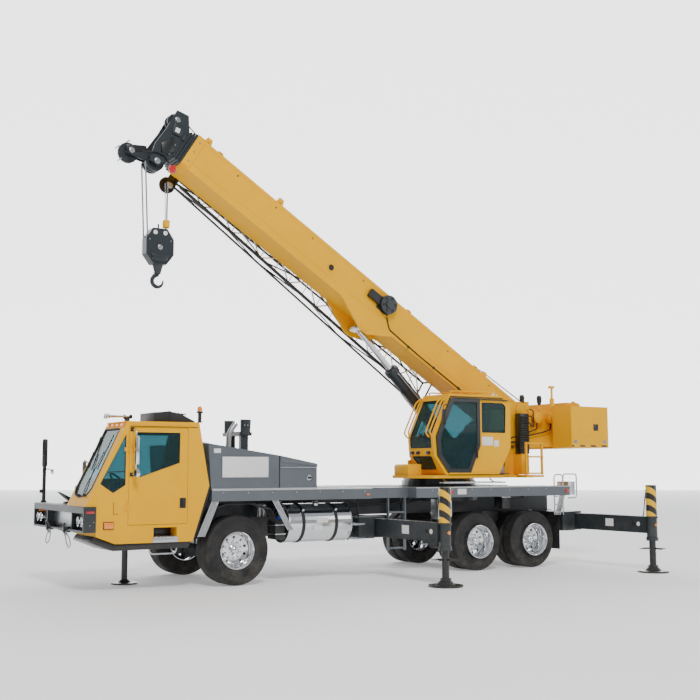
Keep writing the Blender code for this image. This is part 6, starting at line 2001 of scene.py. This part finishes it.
def winding(name, x, z, half, radius, m):
    """Turns of wire rope laid side by side on a winch drum."""
    pitch = 0.025
    turns = int(2 * half / pitch)
    path = []
    for k in range(turns * 14 + 1):
        a = math.tau * k / 14
        path.append(at(x + radius * math.cos(a), -half + pitch * k / 14, z + radius * math.sin(a)))
    tube(name, path, 0.012, m["rope"], "superstructure", 0, False, 2)


def winches(m):
    """Rope on the drums, gear covers with their bolts and motor hoses."""
    lo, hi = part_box("winches")
    for k, x in enumerate((-7.19, -7.56)):
        winding("drum_rope_%d" % k, x, 2.90, 0.24, 0.115, m)
        for s in (1, -1):
            y = hi.y if s > 0 else lo.y
            spun(
                "winch_cover_%d_%d" % (k, s),
                [(0, 0.12), (0.02, 0.12), (0.035, 0.10), (0.05, 0.05), (0.055, 0), (0, 0)],
                at(x, 0, 2.90) + Vector((0, y, 0)), (0, s, 0), m["yellow"], "superstructure", 36)
            bolts(
                "winch_bolts_%d_%d" % (k, s),
                [
                    at(
                        x + 0.105 * math.cos(a), 0,
                        2.90 + 0.105 * math.sin(a)) + Vector((0, y + s * 0.02, 0))
                    for a in [math.tau * i / 8 for i in range(8)]],
                (0, s, 0), 0.007, m["steel"], "superstructure")
        tube(
            "winch_hose_%d" % k,
            [at(x, 0.36, 2.80), at(x + 0.05, 0.40, 2.66), at(x + 0.25, 0.40, 2.60), at(-6.82, 0.38, 2.5)],
            0.013, m["rubber"], "superstructure", 0.06)


# ---------------------------------------------------------------- boom


def boom_sides(m):
    """Welds, bands, pad holes, collars and blank plates on both sides."""
    body = "boom"
    for s in (1, -1):
        y = s * BOOM_HALF
        out = y + s * 0.006
        boom_block(
            "boom_weld_low_%d" % s, 0.2, 8.3, y, y + s * 0.005, -0.40, -0.392, m["yellow"], body, 0.002)
        boom_block(
            "boom_weld_top_%d" % s, 0.2, 8.3, y, y + s * 0.005, 0.03, 0.038, m["yellow"], body, 0.002)
        for k, u in enumerate((0.62, 2.25, 6.70)):
            boom_block(
                "boom_band_%d_%d" % (s, k), u, u + 0.012, y, y + s * 0.004, -0.50, 0.07, m["yellow"], body,
                0.001)
        hole = on_boom(5.10, y, -0.24)
        spun(
            "pad_hole_%d" % s,
            [(0, 0.085), (0.012, 0.085), (0.012, 0.06), (0.002, 0.058), (0.002, 0), (0, 0)], hole,
            (0, s, 0), m["yellow"], body, 40)
        # Painted shade: a dark rubber disc on the floor of the pad hole stands in for the shade inside it.
        spun(
            "pad_hole_dark_%d" % s, [(0.002, 0), (0.002, 0.058), (0.004, 0.058), (0.004, 0)], hole,
            (0, s, 0), m["rubber"], body, 40)
        boom_block(
            "mouth_collar_%d" % s, COLLAR_REAR, BOOM_MOUTH, y, out + s * 0.014, -0.52, 0.07, m["yellow"],
            body, 0.006)
        bolts(
            "collar_bolts_%d" % s, [on_boom(8.385, out + s * 0.014, v) for v in (-0.42, -0.22, -0.02)],
            (0, s, 0), 0.016, m["steel"], body)
        spun(
            "ear_washer_%d" % s, [(0, 0.09), (0.012, 0.09), (0.016, 0.05), (0.016, 0), (0, 0)],
            on_boom(3.92, s * 0.291, -0.73), (0, s, 0), m["yellow"], body, 40)
        boom_block("blank_band_%d" % s, 2.62, 4.62, y, y + s * 0.0015, -0.31, -0.06, m["yellow"], body, 0)
        boom_block("blank_tag_%d" % s, 0.45, 0.75, y, y + s * 0.002, -0.20, -0.06, m["white"], body, 0)


def boom_lugs(m):
    """Lugs with eyes, plugs and the collar at the mouth."""
    body = "boom"
    top = BOOM_TOP
    for k, u in enumerate((1.3, 3.2, 6.55, 7.95, 8.24)):
        rise = 0.16 if k in (2, 4) else 0.09
        outline = [(u - 0.10, top), (u + 0.10, top), (u + 0.05, top + rise), (u - 0.05, top + rise)]
        boom_plate("boom_lug_%d" % k, outline, 0.16, 0.18, m["yellow"], body, 0.006)
        spun(
            "lug_eye_%d" % k, [(0, 0.028), (0, 0.018), (0.024, 0.018), (0.024, 0.028)],
            on_boom(u, 0.158, top + 0.05), (0, 1, 0), m["black"], body, 24)
    for k, u in enumerate((0.9, 2.1, 4.4, 5.7, 6.6, 7.5)):
        for s in (1, -1):
            spun(
                "boom_plug_%d_%d" % (k, s), [(0, 0), (0, 0.016), (0.003, 0.016), (0.003, 0)],
                on_boom(u, s * BOOM_HALF, -0.02), (0, s, 0), m["black"], body, 16)
    boom_block(
        "mouth_collar_top", COLLAR_REAR, BOOM_MOUTH, -BOOM_HALF, BOOM_HALF, top, top + 0.02, m["yellow"],
        body, 0.006)
    boom_block(
        "mouth_collar_low", COLLAR_REAR, BOOM_MOUTH, -BOOM_HALF + 0.02, BOOM_HALF - 0.02, BOOM_BELLY - 0.02,
        BOOM_BELLY, m["yellow"], body, 0.006)


def boom_cable(m):
    """Cable along the near side with its clips."""
    body = "boom"
    cable = [
        on_boom(u, BOOM_HALF + 0.012, v)
        for u, v in ((0.35, -0.46), (1.4, -0.50), (2.6, -0.50), (3.45, -0.47), (3.62, -0.30))]
    tube("boom_cable", cable, 0.012, m["rubber"], body, 0.05)
    for k, u in enumerate((0.8, 1.5, 2.2, 2.9)):
        boom_block(
            "cable_clip_%d" % k, u, u + 0.03, BOOM_HALF, BOOM_HALF + 0.028, -0.525, -0.475, m["black"],
            body, 0.003)


def hoist_rope(m):
    """Rope roller, its brackets and the rope over the boom."""
    body = "boom"
    top = BOOM_TOP
    guide = on_boom(1.05, -0.03, top + 0.075)
    pin(
        "rope_roller", guide + Vector((0, -0.20, 0)), guide + Vector((0, 0.20, 0)), 0.045, m["steel"], body,
        32)
    for s in (1, -1):
        boom_plate(
            "roller_bracket_%d" % s, [(0.95, top), (1.15, top), (1.09, top + 0.12), (1.01, top + 0.12)],
            s * 0.205 - 0.03, s * 0.205 - 0.018, m["yellow"], body, 0.004)
    rope = [
        on_boom(1.05, 0.09, top + 0.132), on_boom(1.60, 0.09, top + 0.025),
        on_boom(8.30, 0.09, top + 0.045), on_boom(8.905, 0.09, top + 0.160)]
    tube("hoist_rope_top", rope, 0.012, m["rope"], "boom", 0)
    lead = [on_boom(-0.38, 0.05, 0.30), on_boom(1.05, 0.09, top + 0.132)]
    tube("hoist_rope_lead", lead, 0.012, m["rope"], "boom", 0)


def boom(m):
    """Lugs, pad holes, welds, bands, collars, cable, length cable reel and rope along the boom."""
    boom_sides(m)
    boom_lugs(m)
    reel(m)
    boom_cable(m)
    hoist_rope(m)


def reel(m):
    """Length cable reel with its case on the boom's left side."""
    centre = on_boom(3.75, BOOM_HALF + 0.002, -0.12)
    side = (0, 1, 0)
    drum = [
        (0, 0.05), (0.02, 0.18), (0.03, 0.18), (0.034, 0.11), (0.11, 0.11), (0.114, 0.18), (0.126, 0.18),
        (0.13, 0.08), (0.15, 0.075), (0.155, 0), (0, 0)]
    spun("length_reel", drum, centre, side, m["charcoal"], "boom", 64)
    spun(
        "reel_cable", [(0.036, 0.112), (0.036, 0.150), (0.108, 0.150), (0.108, 0.112)], centre, side,
        m["rubber"], "boom", 64)
    for k in range(6):
        a = math.tau * k / 6
        spot = centre + Vector((0.13 * math.cos(a), 0.126, 0.13 * math.sin(a)))
        spun(
            "reel_port_%d" % k, [(0, 0), (0, 0.028), (0.004, 0.028), (0.005, 0)], spot, side, m["rubber"],
            "boom", 20)
    boom_block(
        "reel_box", 3.90, 4.20, BOOM_HALF, BOOM_HALF + 0.09, -0.22, -0.06, m["plastic"], "boom", 0.012)
    boom_block(
        "reel_arm", 3.62, 3.92, BOOM_HALF, BOOM_HALF + 0.02, -0.28, -0.20, m["charcoal"], "boom", 0.004)


def nose(m):
    """Keeper frame round the auxiliary nose sheave."""
    body = "boom_section_3"
    for s in (1, -1):
        arm = [
            on_boom(u, s * 0.075, v)
            for u, v in ((9.00, -0.66), (9.08, -0.60), (9.36, -0.80), (9.30, -0.90))]
        sheet_metal("nose_keeper_%d" % s, arm, (0, s * 0.014, 0), m["black"], body, 0.005)
    for k, (u, v) in enumerate(((9.36, -0.72), (9.45, -0.92), (9.30, -1.07))):
        pin("nose_guard_%d" % k, on_boom(u, -0.09, v), on_boom(u, 0.09, v), 0.012, m["steel"], body)


def sections(m):
    """Wear pads and blank labels on the sliding sections and the rope sheaves at the head."""
    for name, body, u, half, high in (
        ("a", "boom_section_1", 8.50, 0.245, 0.05), ("b", "boom_section_2", 8.62, 0.215, 0.02)):
        for s in (1, -1):
            boom_block(
                "wear_pad_%s_%d" % (name, s), u - 0.02, u + 0.05, s * half - 0.01, s * half + 0.02 * s,
                high - 0.16, high - 0.06, m["plastic"], body, 0.003)
    head_sheaves(m)


def head_sheaves(m):
    """Bolted plates, keepers, blank tags, hoses and trip switch on the boom's head."""
    body = "boom_section_3"
    for s in (1, -1):
        y = s * HEAD_HALF
        for k, (u, v) in enumerate(((8.80, -0.74), (8.905, 0.113), (9.25, -0.885))):
            spun(
                "sheave_nut_%d_%d" % (s, k),
                [
                    (0, 0.052), (0.014, 0.052), (0.02, 0.04), (0.02, 0.026), (0.035, 0.026), (0.037, 0),
                    (0, 0)],
                on_boom(u, y, v), (0, s, 0), m["steel"], body, 6 if k else 32)
        bolts(
            "head_bolts_%d" % s,
            [
                on_boom(u, y, v)
                for u, v in (
                    (8.70, -0.50), (8.84, -0.50), (8.70, -0.30), (8.84, -0.30), (8.72, -0.10),
                    (8.86, -0.10))],
            (0, s, 0), 0.016, m["steel"], body)
        step = [on_boom(u, y, v) for u, v in ((8.66, -0.42), (8.78, -0.62), (8.92, -0.44), (8.80, -0.20))]
        sheet_metal("head_gusset_%d" % s, step, (0, s * 0.035, 0), m["black"], body, 0.006)
        frame = [on_boom(u, y, v) for u, v in ((8.70, -0.12), (8.86, -0.16), (8.93, 0.06), (8.74, 0.04))]
        sheet_metal("head_stiffener_%d" % s, frame, (0, s * 0.03, 0), m["charcoal"], body, 0.006)
        tag = [
            on_boom(u, y + s * 0.031, v)
            for u, v in ((8.76, -0.09), (8.84, -0.11), (8.86, -0.03), (8.78, -0.01))]
        sheet_metal("head_blank_tag_%d" % s, tag, (0, s * 0.002, 0), m["white"], body, 0)
        tube(
            "head_hose_%d" % s,
            [
                on_boom(u, y + s * 0.03, v)
                for u, v in ((8.62, -0.66), (8.72, -0.58), (8.90, -0.62), (9.10, -0.80))],
            0.014, m["rubber"], body, 0.05)
    red = [on_boom(u, 0.19, v) for u, v in ((8.52, -0.60), (8.60, -0.70), (8.50, -0.78), (8.42, -0.70))]
    sheet_metal("trip_switch", red, (0, 0.05, 0), m["red"], body, 0.01)
    keeper = [on_boom(8.905, -0.15, 0.113 + 0.155), on_boom(8.905, 0.15, 0.113 + 0.155)]
    tube("rope_keeper", keeper, 0.010, m["steel"], body, 0)
    block_at = on_boom(8.62, 0.14, 0.06)
    spun("anemometer_post", rod_profile(0.10, 0.008), block_at, (0, 0, 1), m["black"], body, 16)


def jib_chord(u, upper):
    """Where the near chords of the lattice jib lie at a lengthwise place."""
    share = (8.20 - u) / 6.50
    return on_boom(u, -0.385, -0.42 - (0.0 if upper else 0.16 + 0.32 * share))


def jib(m):
    """Chords, lacing, hangers and the tip's keeper plate of the stowed lattice jib."""
    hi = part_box("jib")[1]
    for upper in (True, False):
        line = [jib_chord(8.10, upper), jib_chord(1.80, upper)]
        tube("jib_chord_%d" % upper, line, 0.031, m["black"], "boom", 0)
    for k in range(17):
        u = 7.95 - 0.36 * k
        line = [jib_chord(u, k % 2 == 0), jib_chord(u - 0.36, k % 2 == 1)]
        tube("jib_lace_%d" % k, line, 0.013, m["alu"], "boom", 0)
        post = [jib_chord(u, True), jib_chord(u, False)]
        tube("jib_post_%d" % k, post, 0.009, m["alu"], "boom", 0)
    for k, u in enumerate((1.6, 4.4, 7.2)):
        boom_plate(
            "jib_hanger_%d" % k,
            [(u - 0.06, -0.02), (u + 0.06, -0.02), (u + 0.04, -0.40), (u - 0.04, -0.40)], -0.37, -BOOM_HALF,
            m["yellow"], "boom", 0.006)
    spun(
        "jib_disc", [(0, 0.05), (0.014, 0.055), (0.02, 0.045), (0.02, 0), (0, 0)],
        on_boom(8.29, hi.y - 0.001, -0.73), (0, 1, 0), m["steel"], "boom", 32)


def cylinder(m):
    """Gland ring with bolts, pipes, clamps and rod wiper on the lift cylinder."""
    body = "lift_cylinder_barrel"
    foot = at(-5.54, 0, 2.05)
    head = on_boom(3.92, 0, -0.73)
    along = (head - foot).normalized()
    aside = Vector((-along.z, 0, along.x))
    end = foot + along * 2.42
    spun(
        "cylinder_gland", [(-0.12, 0.122), (-0.12, 0.140), (-0.01, 0.140), (0.0, 0.130), (0.0, 0.122)], end,
        along, m["charcoal"], body, 48)
    bolts(
        "gland_bolts",
        [
            end + (aside * math.cos(a) + Vector((0, 1, 0)) * math.sin(a)) * 0.131 - along * 0.001
            for a in [math.tau * k / 10 for k in range(10)]],
        along, 0.007, m["steel"], body)
    side = Vector((0, 0.128, 0))
    pipe = [
        foot + along * 0.36 + side, foot + along * 0.40 + side * 1.2, end - along * 0.16 + side * 1.2,
        end - along * 0.12 + side]
    tube("cylinder_pipe", pipe, 0.012, m["steel"], body, 0.03)
    low = [
        foot + along * 0.30 - aside * 0.128, foot + along * 0.34 - aside * 0.15,
        end - along * 0.5 - aside * 0.15, end - along * 0.45 - aside * 0.125]
    tube("cylinder_pipe_low", low, 0.012, m["steel"], body, 0.03)
    for k in range(3):
        spot = foot + along * (0.7 + 0.6 * k)
        spun(
            "pipe_clamp_%d" % k, [(0, 0.1205), (0, 0.127), (0.04, 0.127), (0.04, 0.1205)], spot, along,
            m["charcoal"], body, 40)
    spun(
        "rod_wiper", [(0, 0.058), (0, 0.09), (0.014, 0.085), (0.016, 0.058)], end + along * 0.001, along,
        m["rubber"], body, 40)


# ---------------------------------------------------------------- hook


def hook(m):
    """Pins, discs, bolts, cheek plates, pull, latch and swivel collar of the hook block."""
    body = "hook"
    x = HOOK_X
    for s in (1, -1):
        y = s * 0.101
        spun(
            "block_pin_%d" % s, [(0, 0.045), (0.008, 0.045), (0.012, 0.035), (0.012, 0), (0, 0)],
            at(x, y, 5.62), (0, s, 0), m["steel"], body, 32)
        for k, dx in enumerate((-0.09, 0.09)):
            spun(
                "block_disc_%d_%d" % (s, k), [(0, 0.038), (0.004, 0.038), (0.004, 0), (0, 0)],
                at(x + dx, y, 5.87), (0, s, 0), m["white"], body, 32)
        bolts(
            "block_bolts_%d" % s,
            [at(x + dx, y, z) for dx, z in ((-0.19, 5.74), (0.19, 5.74), (-0.12, 5.42), (0.12, 5.42))],
            (0, s, 0), 0.015, m["steel"], body)
        side_plate(
            "block_ballast_%d" % s,
            [(x - 0.17, 5.50), (x + 0.17, 5.50), (x + 0.10, 5.37), (x - 0.10, 5.37)], y, y + s * 0.02,
            m["charcoal"], body, 0.005)
    pin("block_pull", at(x, 0, 5.93), at(x, 0, 6.04), 0.014, m["black"], body)
    latch = [at(x + 0.055, 0, 5.20), at(x + 0.10, 0, 5.12), at(x + 0.085, 0, 5.02), at(x + 0.055, 0, 4.96)]
    tube("hook_latch", latch, 0.009, m["steel"], body, 0.03)
    spun(
        "swivel_collar", [(0, 0.03), (0, 0.062), (0.03, 0.066), (0.05, 0.05), (0.05, 0.03)],
        at(x, 0, 5.245), (0, 0, 1), m["steel"], body, 36)


def falls(m):
    """Wire rope between the boom's head and the hook block, with the trip weight and its chains."""
    for k, y in enumerate((0.09, -0.09)):
        tube("fall_rope_%d" % k, [at(1.185, y, 5.80), at(1.2455, y, 7.086)], 0.0138, m["rope"], "hook", 0)
    weight = at(0.825, 0.03, 5.98)
    spun(
        "trip_weight", [(0, 0.046), (0, 0.056), (0.02, 0.062), (0.11, 0.062), (0.13, 0.055), (0.13, 0.046)],
        weight, (0, 0, 1), m["yellow"], "hook", 36)
    for s in (1, -1):
        tube(
            "trip_chain_%d" % s, [weight + Vector((0, s * 0.045, 0.12)), at(0.83, 0.03 + s * 0.06, 6.78)],
            0.006, m["steel"], "hook", 0)


# ---------------------------------------------------------------- build


def main():
    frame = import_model()
    m = build_materials()
    dress_nodes(frame["nodes"], m)
    wheels(m)
    carrier_cab(m)
    bumper(m)
    front_frame(m)
    hood(m)
    boom_cradle(m)
    deck(m)
    lockers(m)
    for name, x, s in JACKS:
        outrigger(name, x, s, m)
    nose_jack(m)
    crane_cab(m)
    turntable(m)
    counterweight(m)
    winches(m)
    boom(m)
    sections(m)
    nose(m)
    jib(m)
    cylinder(m)
    hook(m)
    falls(m)
    camera()
    studio()


main()
